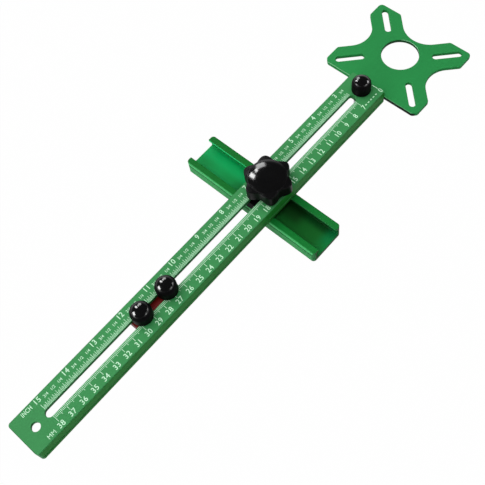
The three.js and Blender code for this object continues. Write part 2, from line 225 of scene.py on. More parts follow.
class Graph(Nodes):
    """A finish's node tree, around one principled shader."""

    def __init__(self, name: str) -> None:
        """Makes an empty material with one principled shader.

        Args:
            name: The material's name.
        """
        self.material = bpy.data.materials.new(name)
        self.material.use_nodes = True
        super().__init__(self.material.node_tree)
        output = self.new("ShaderNodeOutputMaterial")
        self.shader = self.new("ShaderNodeBsdfPrincipled")
        self.link(self.shader.outputs["BSDF"], output.inputs["Surface"])

    def coordinates(self, scale: Sequence[float]) -> bpy.types.NodeSocket:
        """Reads the place on the object, stretched along each axis.

        Args:
            scale: The stretch along x, y and z.

        Returns:
            The vector socket.
        """
        place = self.new("ShaderNodeTexCoord")
        mapping = self.new("ShaderNodeMapping")
        mapping.inputs["Scale"].default_value = tuple(scale)
        self.link(place.outputs["Object"], mapping.inputs["Vector"])
        return mapping.outputs["Vector"]

    def noise(self, scale: Sequence[float], detail: float = 2, roughness: float = 0.5) -> bpy.types.NodeSocket:
        """Adds a noise pattern.

        Args:
            scale: Patches per metre along x, y and z.
            detail: The noise's octaves.
            roughness: The share of the finer octaves.

        Returns:
            The value socket, about 0.5 on average.
        """
        noise = self.new("ShaderNodeTexNoise")
        noise.inputs["Scale"].default_value = 1.0
        noise.inputs["Detail"].default_value = detail
        noise.inputs["Roughness"].default_value = roughness
        self.link(self.coordinates(scale), noise.inputs["Vector"])
        return noise.outputs["Fac"]

    def span(self, value: bpy.types.NodeSocket, low: float, high: float) -> bpy.types.NodeSocket:
        """Spreads a noise value over a range.

        Args:
            value: The noise value.
            low: The result for dark patches.
            high: The result for light patches.

        Returns:
            The value socket.
        """
        return self.ranged(value, *NOISE_RANGE, low, high)

    def mixer(self, kind: str) -> bpy.types.Node:
        """Adds a mix node, whose share is input 0.

        Args:
            kind: FLOAT, with the values at inputs 2 and 3, or RGBA, with them at 6 and 7.

        Returns:
            The node.
        """
        mix = self.new("ShaderNodeMix")
        mix.data_type = kind
        return mix

    def join(self, first: bpy.types.NodeSocket, second: bpy.types.NodeSocket, share: float) -> bpy.types.NodeSocket:
        """Mixes two values.

        Args:
            first: The first value.
            second: The second value.
            share: The second value's share.

        Returns:
            The value socket.
        """
        mix = self.mixer("FLOAT")
        mix.inputs[0].default_value = share
        self.link(first, mix.inputs[2])
        self.link(second, mix.inputs[3])
        return mix.outputs[0]

    def tint(self, value: bpy.types.NodeSocket, colour: Colour, low: float, high: float) -> None:
        """Colours the shader in darker and lighter patches.

        Args:
            value: The noise value.
            colour: The colour between them.
            low: The share of its brightness in dark patches.
            high: The share in light patches.
        """
        mix = self.mixer("RGBA")
        mix.inputs[6].default_value = shaded(colour, low)
        mix.inputs[7].default_value = shaded(colour, high)
        self.link(self.span(value, 0, 1), mix.inputs[0])
        self.link(mix.outputs[2], self.shader.inputs["Base Color"])

    def bump(self, value: bpy.types.NodeSocket, strength: float, distance: float) -> None:
        """Raises the shader's surface by a value.

        Args:
            value: The height, 0 to 1.
            strength: The share of the bump that shows.
            distance: The height of 1, in metres.
        """
        bump = self.new("ShaderNodeBump")
        bump.inputs["Strength"].default_value = strength
        bump.inputs["Distance"].default_value = distance
        self.link(value, bump.inputs["Height"])
        self.link(bump.outputs["Normal"], self.shader.inputs["Normal"])

    def roughen(self, value: bpy.types.NodeSocket, low: float, high: float) -> None:
        """Lets a noise value set the shader's roughness, between two limits."""
        self.link(self.span(value, low, high), self.shader.inputs["Roughness"])

    def constant(self, name: str, value: float) -> None:
        """Sets a shader's own socket."""
        self.shader.inputs[name].default_value = value

    def inside(self, low: Vector, high: Vector, soft: float, share: float) -> bpy.types.NodeSocket:
        """Marks a box on the object, with soft sides.

        Args:
            low: The box's lowest corner, in metres.
            high: Its highest corner.
            soft: The width over which it fades, in metres.
            share: The value inside.

        Returns:
            A socket that is the share inside the box and 0 outside.
        """
        split = self.split("Object")
        mask: bpy.types.NodeSocket | None = None
        for axis in range(3):
            offset = self.maths("SUBTRACT", split.outputs[axis])
            offset.inputs[1].default_value = (low[axis] + high[axis]) / 2
            reach = self.maths("ABSOLUTE", offset.outputs[0])
            half = (high[axis] - low[axis]) / 2
            full = share if mask is None else 1.0
            fade = self.ranged(reach.outputs[0], half - soft / 2, half + soft / 2, full, 0.0, "SMOOTHSTEP")
            if mask is None:
                mask = fade
                continue
            product = self.maths("MULTIPLY", mask)
            self.link(fade, product.inputs[1])
            mask = product.outputs[0]
        return mask

    def eased(self, name: str, mask: bpy.types.NodeSocket, value: float) -> None:
        """Eases a shader's number towards another one, where the mask ends.

        Args:
            name: The shader's socket.
            mask: 1 where the socket keeps what it has.
            value: The number where the mask is 0.
        """
        socket = self.shader.inputs[name]
        mix = self.mixer("FLOAT")
        mix.inputs[2].default_value = value
        mix.inputs[3].default_value = socket.default_value
        if socket.is_linked:
            self.link(socket.links[0].from_socket, mix.inputs[3])
        self.link(mask, mix.inputs[0])
        self.link(mix.outputs[0], socket)

    def blend_painted_light(self, mask: bpy.types.NodeSocket, colour: Colour) -> None:
        """Blends the shader's colour towards another one, which paints in light or shade.

        Args:
            mask: How much of the other colour shows.
            colour: The other colour.
        """
        mix = self.mixer("RGBA")
        mix.inputs[7].default_value = colour
        self.link(mask, mix.inputs[0])
        self.link(self.shader.inputs["Base Color"].links[0].from_socket, mix.inputs[6])
        self.link(mix.outputs[2], self.shader.inputs["Base Color"])


def shaded(colour: Colour, share: float) -> Colour:
    """Makes a colour lighter or darker by a share."""
    return (colour[0] * share, colour[1] * share, colour[2] * share, 1.0)


@dataclass(frozen=True)
class PaintedLight:
    """Painted light or shade: a colour that takes over inside a box on a piece, in millimetres."""

    low: tuple[float, float, float]
    high: tuple[float, float, float]
    colour: Colour
    share: float = 1.0  # how much of it shows
    soft: float = 0.3  # the width over which it fades


@dataclass(frozen=True)
class Anodised:
    """Bead-blasted and anodised aluminium, with faint lines along its run."""

    name: str
    colour: Colour
    slot: FinishSlot
    run: Run = Run.ALONG_X
    roughness: float = 0.52
    roughness_spread: float = 0.06
    speckle: float = 0.12
    specular: float = 0.07
    blasting: float = 1500  # grains per metre
    fineness: float = 0.65  # the share of the finer grains
    clouds: float = 22
    line_length: float = 9  # lines per metre along the run
    line_width: float = 2600  # and across it
    line_share: float = 0.3
    cloud_share: float = 0.25
    line_bump_share: float = 0.35
    bump_share: float = 0.35
    bump_height: float = 0.00003
    # painted light and shade, each in a box on the piece
    painted_lights: tuple[PaintedLight, ...] = ()

    def material(self) -> bpy.types.Material:
        """Builds the finish.

        Returns:
            The material.
        """
        graph = Graph(self.name)
        fine = graph.noise((self.blasting,) * 3, detail=3, roughness=self.fineness)
        broad = graph.noise((self.clouds,) * 3, detail=1)
        along, across = self.line_length, self.line_width
        lines = graph.noise((along, across, across) if self.run is Run.ALONG_X else (across, along, across))
        grain = graph.join(graph.join(fine, lines, self.line_share), broad, self.cloud_share)
        graph.tint(grain, self.colour, 1 - self.speckle, 1 + self.speckle)
        graph.roughen(fine, self.roughness - self.roughness_spread, self.roughness + self.roughness_spread)
        graph.bump(graph.join(fine, lines, self.line_bump_share), self.bump_share, self.bump_height)
        graph.constant("Specular IOR Level", self.specular)
        # Painted light and shade over the colour, box by box.
        for light_patch in self.painted_lights:
            low, high = Vector(light_patch.low) * MM, Vector(light_patch.high) * MM
            graph.blend_painted_light(graph.inside(low, high, light_patch.soft * MM, light_patch.share), light_patch.colour)
        return graph.material


@dataclass(frozen=True)
class MouldedPlastic:
    """Moulded plastic, glossy for the knobs and dull for the hidden blocks."""

    name: str
    colour: Colour
    slot: FinishSlot
    roughness: float
    specular: float
    texture: float  # strength of the mould's texture
    matt_below: float = 0.0  # the height, in millimetres, under which the moulding is dull
    matt_specular: float = 0.03
    matt_fade: float = 1.2
    matt_roughness: float = 0.5
    grain: float = 2600  # grains per metre
    clouds: float = 130
    cloud_share: float = 0.6
    cloud_bump_share: float = 0.5
    tones: tuple[float, float] = (0.88, 1.12)  # the brightness of its dark and light patches
    roughness_spread: float = 0.2  # as a share of the roughness
    bump_height: float = 0.00004

    def material(self) -> bpy.types.Material:
        """Builds the finish.

        Returns:
            The material.
        """
        graph = Graph(self.name)
        fine = graph.noise((self.grain,) * 3)
        broad = graph.noise((self.clouds,) * 3)
        graph.tint(broad, self.colour, *self.tones)
        smooth, rough = self.roughness * (1 - self.roughness_spread), self.roughness * (1 + self.roughness_spread)
        graph.roughen(graph.join(fine, broad, self.cloud_share), smooth, rough)
        graph.bump(graph.join(fine, broad, self.cloud_bump_share), self.texture, self.bump_height)
        graph.constant("Specular IOR Level", self.specular)
        if self.matt_below:
            low, high = Vector((-1, -1, self.matt_below * MM)), Vector((1, 1, 1))
            polished = graph.inside(low, high, self.matt_fade * MM, 1.0)
            graph.eased("Specular IOR Level", polished, self.matt_specular)
            graph.eased("Roughness", polished, self.matt_roughness)
        return graph.material


@dataclass(frozen=True)
class TurnedMetal:
    """Plated steel or brass with the fine rings and scratches of turning."""

    name: str
    colour: Colour
    slot: FinishSlot
    roughness: float = 0.3
    roughness_spread: float = 0.08
    tones: tuple[float, float] = (0.86, 1.08)  # the brightness of its dark and light patches
    rings: tuple[float, float, float] = (40, 40, 5200)  # per metre along x, y and z
    scratches: float = 1800
    scratch_share: float = 0.4
    bump_share: float = 0.2
    bump_height: float = 0.00002

    def material(self) -> bpy.types.Material:
        """Builds the finish.

        Returns:
            The material.
        """
        graph = Graph(self.name)
        rings = graph.noise(self.rings)
        fine = graph.noise((self.scratches,) * 3, detail=3)
        wear = graph.join(rings, fine, self.scratch_share)
        graph.tint(wear, self.colour, *self.tones)
        graph.roughen(wear, self.roughness - self.roughness_spread, self.roughness + self.roughness_spread)
        graph.bump(wear, self.bump_share, self.bump_height)
        graph.constant("Metallic", 1.0)
        return graph.material


@dataclass(frozen=True)
class EngravedMark:
    """The pale marks of the scales."""

    name: str
    colour: Colour
    tones: tuple[float, float] = (0.9, 1.06)  # the brightness of its dark and light patches
    roughness: tuple[float, float] = (0.5, 0.7)
    grain: float = 2400  # grains per metre
    specular: float = 0.3
    bump_share: float = 0.2
    bump_height: float = 0.00002

    def material(self) -> bpy.types.Material:
        """Builds the finish.

        Returns:
            The material.
        """
        graph = Graph(self.name)
        fine = graph.noise((self.grain,) * 3)
        graph.tint(fine, self.colour, *self.tones)
        graph.roughen(fine, *self.roughness)
        graph.bump(fine, self.bump_share, self.bump_height)
        graph.constant("Specular IOR Level", self.specular)
        return graph.material


Finish = Anodised | MouldedPlastic | TurnedMetal | EngravedMark

TRACK_GREEN = Anodised(
    "green anodised track",
    paint(64, 150, 86),
    FinishSlot.TRACK_GREEN,
    painted_lights=(
        # Painted shade on the outer face on the centimetre side: a deeper green, and a darker band towards its
        # foot.
        PaintedLight((-220, -21.4, 12), (150, -21.02, 25.1), paint(34, 150, 44), 0.85, 0.1),
        PaintedLight((-220, -21.4, 10), (150, -21.02, 15.5), paint(52, 128, 46), 0.8, 2.5),
        # Painted shade on the outer face on the inch side and on the sawn tail, as dark edge lines.
        PaintedLight((-220, 8.8, 12), (150, 9.6, 26), paint(28, 92, 46), 0.8),
        PaintedLight((-214.5, -22, 12), (-213.4, 10, 26), paint(28, 92, 46), 0.7),
    ),
)
PLATE_GREEN = Anodised(
    "green anodised plate",
    paint(42, 148, 76),
    FinishSlot.PLATE_GREEN,
    painted_lights=(
        # The edges beside the track: a painted shadow of the track on one, and painted highlights where the two
        # edges are broken.
        PaintedLight((141, -60, 15), (143, -20, 18.22), paint(5, 24, 9), 1.0, 0.06),
        PaintedLight((141, -57, 18.24), (141.9, -20, 19), paint(110, 180, 130), 0.6, 0.1),
        PaintedLight((141, 9, 18.24), (141.9, 57, 19), paint(150, 215, 165), 0.7, 0.1),
        # Painted shade on the wall of the large hole, and a painted highlight on its far side.
        PaintedLight((165, -22, 15), (197, 10, 18.1), paint(8, 60, 24), 0.9, 0.1),
        PaintedLight((190, -16, 17.9), (197, 2, 18.25), paint(170, 240, 190), 0.8, 0.1),
    ),
)
GUIDE_GREEN = Anodised(
    "green anodised guide",
    paint(52, 140, 78),
    FinishSlot.GUIDE_GREEN,
    run=Run.ALONG_Y,
    painted_lights=(
        # Inside, beyond the track: a brighter green painted for the light within the channel, painted shade beside
        # the track, and a painted light patch.
        PaintedLight((10.5, 8, 1), (34.5, 70, 10.5), paint(0, 146, 70)),
        PaintedLight((10.5, 8, 1), (34.5, 24, 10.5), paint(0, 96, 36), 0.85, 12),
        PaintedLight((12, 36, 1), (33, 48, 6), paint(0, 162, 84), 0.8, 14),
        # Inside, from the near end to the track's far side: painted shade, and painted light at the near end.
        PaintedLight((10.5, -70, 1), (34.5, 8, 10.5), paint(20, 108, 38)),
        PaintedLight((10.5, -72, 1), (34.5, -56, 10.5), paint(0, 140, 66), 0.8, 14),
        # Along the wall nearer the plate: light beyond the track, shade before it, and the light near end.
        PaintedLight((24, 8, 1), (34.5, 70, 10.5), paint(0, 178, 98), 0.8, 8),
        PaintedLight((29, -70, 1), (36, 8, 10.5), paint(4, 66, 24), 0.8, 6),
        PaintedLight((22, -34, 1), (36, -14, 10.5), paint(16, 40, 12), 0.7, 9),
        PaintedLight((22, -74, 1), (36, -55, 10.5), paint(0, 128, 66), 0.8, 7),
        # Painted shade on the tops of the lips, near and far, and painted light on the inner side of one.
        PaintedLight((0, -70, 12.35), (50, 8, 14), paint(10, 124, 46), 0.95),
        PaintedLight((0, 8, 12.35), (50, 70, 14), paint(0, 114, 36)),
        PaintedLight((31, 8, 10.4), (33, 70, 12.3), paint(60, 240, 150), 0.9, 0.1),
        # Painted light on the outer face nearer the tail, a painted highlight on its upper edge, and painted shade
        # on the sawn end.
        PaintedLight((7.0, -70, -1), (7.5, 70, 12.2), paint(68, 176, 100), 0.8, 0.1),
        PaintedLight((7.0, -70, 10.2), (7.9, 70, 12.8), paint(96, 226, 136), 0.7, 1.2),
        PaintedLight((0, -63, -1), (50, -61.9, 12.2), paint(20, 78, 16), 0.9, 0.1),
    ),
)
KNOB_BLACK = MouldedPlastic(
    "glossy black plastic",
    paint(9, 9, 10),
    FinishSlot.KNOB_BLACK,
    roughness=0.12,
    specular=0.5,
    texture=0.05,
    matt_below=36.3,
)
STAR_BLACK = MouldedPlastic(
    "black plastic with a polished dome",
    paint(9, 9, 10),
    FinishSlot.KNOB_BLACK,
    roughness=0.12,
    specular=0.5,
    texture=0.05,
    matt_below=38.08,
    matt_specular=0.07,
    matt_fade=0.2,
    matt_roughness=0.38,
)
DULL_BLACK = MouldedPlastic(
    "dull black plastic", paint(10, 10, 11), FinishSlot.BLACK_PLASTIC, roughness=0.5, specular=0.01, texture=0.3
)
BLOCK_RED = MouldedPlastic(
    "dark red plastic", paint(112, 10, 5), FinishSlot.BLOCK_RED, roughness=0.45, specular=0.12, texture=0.3
)
STEEL = TurnedMetal("zinc plated steel", paint(178, 180, 184), FinishSlot.STEEL)
BRASS = TurnedMetal("brass", paint(190, 152, 80), FinishSlot.BRASS, roughness=0.34)
MARK_WHITE = EngravedMark("pale scale marks", paint(206, 255, 217))


@dataclass(frozen=True)
class Corner:
    """A corner of an outline or a turned profile, with the radius that rounds it."""

    x: float
    y: float
    radius: float = 0.0


def arc_segments(radius: float, turn: float) -> int:
    """Gives the number of segments of a rounded corner.

    Args:
        radius: The corner's radius.
        turn: The turn that it rounds.

    Returns:
        The number of segments.
    """
    quarter = min(ARC_MOST, max(ARC_FEWEST, radius * math.pi / 2 / ARC_CHORD))
    return max(2, round(quarter * turn / (math.pi / 2)))


def round_off(bm: bmesh.types.BMesh, vert: bmesh.types.BMVert, offset: float, kind: str, segments: int) -> None:
    """Bevels one corner of a chain or an outline into an arc.

    Args:
        bm: The mesh.
        vert: The corner.
        offset: Where the arc starts and ends, from the corner.
        kind: OFFSET for a length, or PERCENT of the edges beside the corner.
        segments: The segments of the arc.
    """
    bmesh.ops.bevel(
        bm,
        geom=[vert],
        offset=offset,
        offset_type=kind,
        segments=segments,
        profile=0.5,
        affect="VERTICES",
        material=-1,
    )


def outline(corners: Sequence[Corner], closed: bool = True) -> bmesh.types.BMesh:
    """Lays a chain of corners in the plane and rounds each by a vertex bevel.

    Args:
        corners: The corners in order.
        closed: A face for True, an open chain of edges for False.

    Returns:
        A mesh with the one face or the chain.
    """
    bm = bmesh.new()
    verts = [bm.verts.new((corner.x, corner.y, 0)) for corner in corners]
    if closed:
        bm.faces.new(verts)
    else:
        for first, second in zip(verts, verts[1:]):
            bm.edges.new((first, second))
    places = [vert.co.copy() for vert in verts]
    for index, corner in enumerate(corners):
        if not corner.radius:
            continue
        back = (places[index - 1] - places[index]).normalized()
        ahead = (places[(index + 1) % len(places)] - places[index]).normalized()
        half = back.angle(ahead) / 2
        segments = arc_segments(corner.radius, math.pi - 2 * half)
        round_off(bm, verts[index], corner.radius / math.tan(half), "OFFSET", segments)
    return bm


class Shape:
    """A closed solid in millimetres, shaped by mesh operators and by cuts."""

    def __init__(self, bm: bmesh.types.BMesh, weld: bool = True) -> None:
        """Takes over a mesh.

        Args:
            bm: The mesh.
            weld: Whether its corners still have to be joined and its faces turned outwards.
        """
        if weld:
            bmesh.ops.remove_doubles(bm, verts=bm.verts[:], dist=WELD)
            bmesh.ops.recalc_face_normals(bm, faces=bm.faces[:])
        self.mesh = bpy.data.meshes.new("shape")
        bm.to_mesh(self.mesh)
        bm.free()

    @classmethod
    def slab(cls, corners: Sequence[Corner], low: float, high: float) -> "Shape":
        """Extrudes an outline upwards.

        Args:
            corners: The outline.
            low: The height of its underside.
            high: The height of its top.

        Returns:
            The solid.
        """
        bm = outline(corners)
        made = bmesh.ops.extrude_face_region(bm, geom=bm.faces[:])
        top = [item for item in made["geom"] if isinstance(item, bmesh.types.BMVert)]
        bmesh.ops.translate(bm, vec=(0, 0, high - low), verts=top)
        bmesh.ops.translate(bm, vec=(0, 0, low), verts=bm.verts[:])
        return cls(bm)

    @classmethod
    def plank(cls, low: Vector, high: Vector, radius: float = 0.0) -> "Shape":
        """Makes a block with rounded upright edges.

        Args:
            low: Its lowest corner.
            high: Its highest corner.
            radius: The rounding of the upright edges.

        Returns:
            The solid.
        """
        places = ((low.x, low.y), (high.x, low.y), (high.x, high.y), (low.x, high.y))
        return cls.slab([Corner(x, y, radius) for x, y in places], low.z, high.z)

    @classmethod
    def bar(cls, x: float, y: float, radius: float, low: float, high: float, sides: int = 64) -> "Shape":
        """Makes an upright round bar, or with few sides a hexagon.

        Args:
            x: Its middle.
            y: Its middle.
            radius: Its radius, to the corners.
            low: The height of its underside.
            high: The height of its top.
            sides: The number of sides.

        Returns:
            The solid.
        """
        bm = bmesh.new()
        bmesh.ops.create_cone(
            bm,
            cap_ends=True,
            segments=sides,
            radius1=radius,
            radius2=radius,
            depth=high - low,
            matrix=Matrix.Translation((x, y, (low + high) / 2)),
        )
        return cls(bm)

    @classmethod
    def turned(cls, profile: Sequence[Corner], x: float, y: float, steps: int, ring: bool = False) -> "Shape":
        """Spins a profile of radius and height about an upright axis.

        Args:
            profile: The corners, from the axis to the axis, or the whole section of a ring.
            x: The axis.
            y: The axis.
            steps: The number of steps of the turn.
            ring: True where the profile is closed in itself and stays off the axis.

        Returns:
            The solid.
        """
        bm = outline(profile, closed=ring)
        bmesh.ops.delete(bm, geom=bm.faces[:], context="FACES_ONLY")
        return cls.spun(bm, x, y, steps)

    @classmethod
    def spun(cls, bm: bmesh.types.BMesh, x: float, y: float, steps: int) -> "Shape":
        """Spins an open or closed chain of radius and height about an upright axis.

        Args:
            bm: The chain, in the plane.
            x: The axis.
            y: The axis.
            steps: The number of steps of the turn.

        Returns:
            The solid.
        """
        bmesh.ops.rotate(bm, cent=(0, 0, 0), matrix=Matrix.Rotation(math.pi / 2, 3, "X"), verts=bm.verts[:])
        bmesh.ops.spin(
            bm,
            geom=bm.verts[:] + bm.edges[:],
            cent=(0, 0, 0),
            axis=(0, 0, 1),
            angle=FULL_TURN,
            steps=steps,
            use_merge=True,
        )
        bmesh.ops.translate(bm, vec=(x, y, 0), verts=bm.verts[:])
        return cls(bm)

    def moved(self, matrix: Matrix) -> "Shape":
        """Moves, turns or mirrors the solid.

        Args:
            matrix: The move.

        Returns:
            This solid, changed.
        """
        self.mesh.transform(matrix)
        if matrix.determinant() < 0:
            self.mesh.flip_normals()
        return self

    def combine(self, operation: str, others: Iterable["Shape"]) -> "Shape":
        """Adds, cuts or intersects with other solids.

        Args:
            operation: UNION, DIFFERENCE or INTERSECT.
            others: The other solids, which are used up.

        Returns:
            This solid, changed.
        """
        holder = placed("shape", self.mesh)
        tools = [placed("tool", other.mesh) for other in others]
        for tool in tools:
            modifier = holder.modifiers.new("cut", "BOOLEAN")
            modifier.operation = operation
            modifier.solver = "EXACT"
            modifier.object = tool
        self.mesh = baked(holder)
        for tool in tools:
            removed(tool)
        return self

    def add(self, *others: "Shape") -> "Shape":
        """Joins other solids on."""
        return self.combine("UNION", others)

    def cut(self, *others: "Shape") -> "Shape":
        """Cuts other solids out."""
        return self.combine("DIFFERENCE", others)

    def keep(self, *others: "Shape") -> "Shape":
        """Keeps what other solids share with it."""
        return self.combine("INTERSECT", others)

    def softened(self, width: float, segments: int = 2) -> "Shape":
        """Breaks the sharp edges and evens the shading of the flat faces.

        Args:
            width: The width of the broken edge.
            segments: The steps across it.

        Returns:
            This solid, changed.
        """
        bm = bmesh.new()
        bm.from_mesh(self.mesh)
        bmesh.ops.remove_doubles(bm, verts=bm.verts[:], dist=WELD)
        bmesh.ops.dissolve_limit(
            bm, angle_limit=FLAT, verts=bm.verts[:], edges=bm.edges[:], use_dissolve_boundaries=False
        )
        bm.to_mesh(self.mesh)
        bm.free()
        holder = placed("shape", self.mesh)
        if width:
            bevel = holder.modifiers.new("edges", "BEVEL")
            bevel.limit_method = "ANGLE"
            bevel.angle_limit = BROKEN
            bevel.width = width
            bevel.segments = segments
            bevel.profile = 0.5
            bevel.use_clamp_overlap = False
        self.mesh = baked(holder)
        return self

    def finished(self, name: str, finish: Finish, body: Body, *nodes: str) -> bpy.types.Object:
        """Writes the solid as a piece of the jig.

        Args:
            name: The piece's name.
            finish: Its finish.
            body: The body it rides on.
            nodes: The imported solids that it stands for.

        Returns:
            The piece's object.
        """
        mesh = self.mesh
        mesh.transform(Matrix.Scale(MM, 4))
        mesh.shade_smooth()
        mesh.set_sharp_from_angle(angle=SHARP)
        holder = placed("shape", mesh)
        even = holder.modifiers.new("shading", "WEIGHTED_NORMAL")
        even.keep_sharp = True
        even.weight = SHADING_WEIGHT
        mesh = baked(holder)
        mesh.name = name
        mesh.materials.clear()
        mesh.materials.append(material_of(finish))
        piece = placed(name, mesh)
        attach(piece, body.value)
        if nodes:
            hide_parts(*nodes)
        log.info("%-24s %6d faces on %s", name, len(mesh.polygons), body.value)
        return piece


def placed(name: str, mesh: bpy.types.Mesh) -> bpy.types.Object:
    """Puts a mesh into the scene at the origin.

    Args:
        name: The object's name.
        mesh: The mesh.

    Returns:
        The object.
    """
    holder = bpy.data.objects.new(name, mesh)
    bpy.context.scene.collection.objects.link(holder)
    return holder


def removed(holder: bpy.types.Object) -> None:
    """Takes an object and its mesh out of the file.

    Args:
        holder: The object.
    """
    mesh = holder.data
    bpy.data.objects.remove(holder)
    bpy.data.meshes.remove(mesh)


def baked(holder: bpy.types.Object) -> bpy.types.Mesh:
    """Applies an object's modifiers and removes the object.

    Args:
        holder: The object.

    Returns:
        The finished mesh.
    """
    graph = bpy.context.evaluated_depsgraph_get()
    mesh = bpy.data.meshes.new_from_object(holder.evaluated_get(graph))
    removed(holder)
    return mesh


_materials: dict[str, bpy.types.Material] = {}


def material_of(finish: Finish) -> bpy.types.Material:
    """Gives a finish's material, which is built once.

    Args:
        finish: The finish.

    Returns:
        The material.
    """
    if finish.name not in _materials:
        _materials[finish.name] = finish.material()
    return _materials[finish.name]


def slot_corners(x: float, y: float, length: float, width: float) -> list[Corner]:
    """Gives the outline of a slot with round ends along x.

    Args:
        x: Its middle.
        y: Its middle.
        length: Its whole length.
        width: Its width.

    Returns:
        The four corners, rounded almost to half the width.
    """
    radius = width / 2 * SLOT_ROUND
    along, across = length / 2, width / 2
    places = ((-along, -across), (along, -across), (along, across), (-along, across))
    return [Corner(x + dx, y + dy, radius) for dx, dy in places]


class Assembly(ABC):
    """A sub-assembly that builds and dresses its pieces."""

    @abstractmethod
    def build(self) -> None:
        """Builds the pieces."""


@dataclass
class ChannelSection:
    """The section that the measuring track and the guide share, open upwards, on its web's outer face."""

    web: float = 3.2
    wall: float = 3.2
    lip_width: float = 5.3
    lip_thickness: float = 2.1
    edge_round: float = 0.6
    inner_round: float = 0.4
    groove_height: float = 8.8
    groove_width: float = 1.2
    groove_depth: float = 0.4
    end_round: float = 2.8

    def corners(self, width: float, height: float) -> list[Corner]:
        """Gives the section's corners.

        Args:
            width: The channel's whole width.
            height: Its whole height.

        Returns:
            The corners, anticlockwise.
        """
        half, mouth, inner = width / 2, width / 2 - self.lip_width, width / 2 - self.wall
        low = self.groove_height - self.groove_width / 2
        high = self.groove_height + self.groove_width / 2
        under = height - self.lip_thickness
        right = [
            Corner(half, 0, self.edge_round),
            Corner(half, low),
            Corner(half - self.groove_depth, low),
            Corner(half - self.groove_depth, high),
            Corner(half, high),
            Corner(half, height, self.edge_round),
            Corner(mouth, height, self.edge_round),
            Corner(mouth, under),
            Corner(inner, under, self.inner_round),
            Corner(inner, self.web, self.inner_round),
        ]
        left = [Corner(-corner.x, corner.y, corner.radius) for corner in reversed(right)]
        return right + left

    def length(self, low: Vector, high: Vector, run: Run) -> Shape:
        """Extrudes the section through a box.

        Args:
            low: The box's lowest corner.
            high: The box's highest corner.
            run: Along x with its mouth down, or along y with its mouth up.

        Returns:
            The solid.
        """
        size = high - low
        middle = (low + high) / 2
        if run is Run.ALONG_X:
            basis = Matrix(((0, 0, 1), (-1, 0, 0), (0, -1, 0)))
            place = Vector((low.x, middle.y, high.z))
            shape = Shape.slab(self.corners(size.y, size.z), -OVERRUN, size.x + OVERRUN)
            spare = Vector((0, SLACK, OVERRUN))
        else:
            basis = Matrix(((1, 0, 0), (0, 0, -1), (0, 1, 0)))
            place = Vector((middle.x, high.y, low.z))
            shape = Shape.slab(self.corners(size.x, size.z), -OVERRUN, size.y + OVERRUN)
            spare = Vector((SLACK, 0, OVERRUN))
        shape.moved(Matrix.Translation(place) @ basis.to_4x4())
        return shape.keep(self.plan(low - spare, high + spare, run))

    def plan(self, low: Vector, high: Vector, run: Run) -> Shape:
        """Gives the block that trims a channel, with its sawn ends rounded in plan.

        Args:
            low: The block's lowest corner.
            high: Its highest corner.
            run: Along x, where only the tail is rounded, or along y.

        Returns:
            The solid.
        """
        head = self.edge_round if run is Run.ALONG_X else self.end_round
        corners = [
            Corner(low.x, low.y, self.end_round),
            Corner(high.x, low.y, head),
            Corner(high.x, high.y, head),
            Corner(low.x, high.y, self.end_round),
        ]
        return Shape.slab(corners, low.z, high.z)


INCH_PARTS = 32
QUARTERS = {8: "1/4", 16: "1/2", 24: "3/4"}


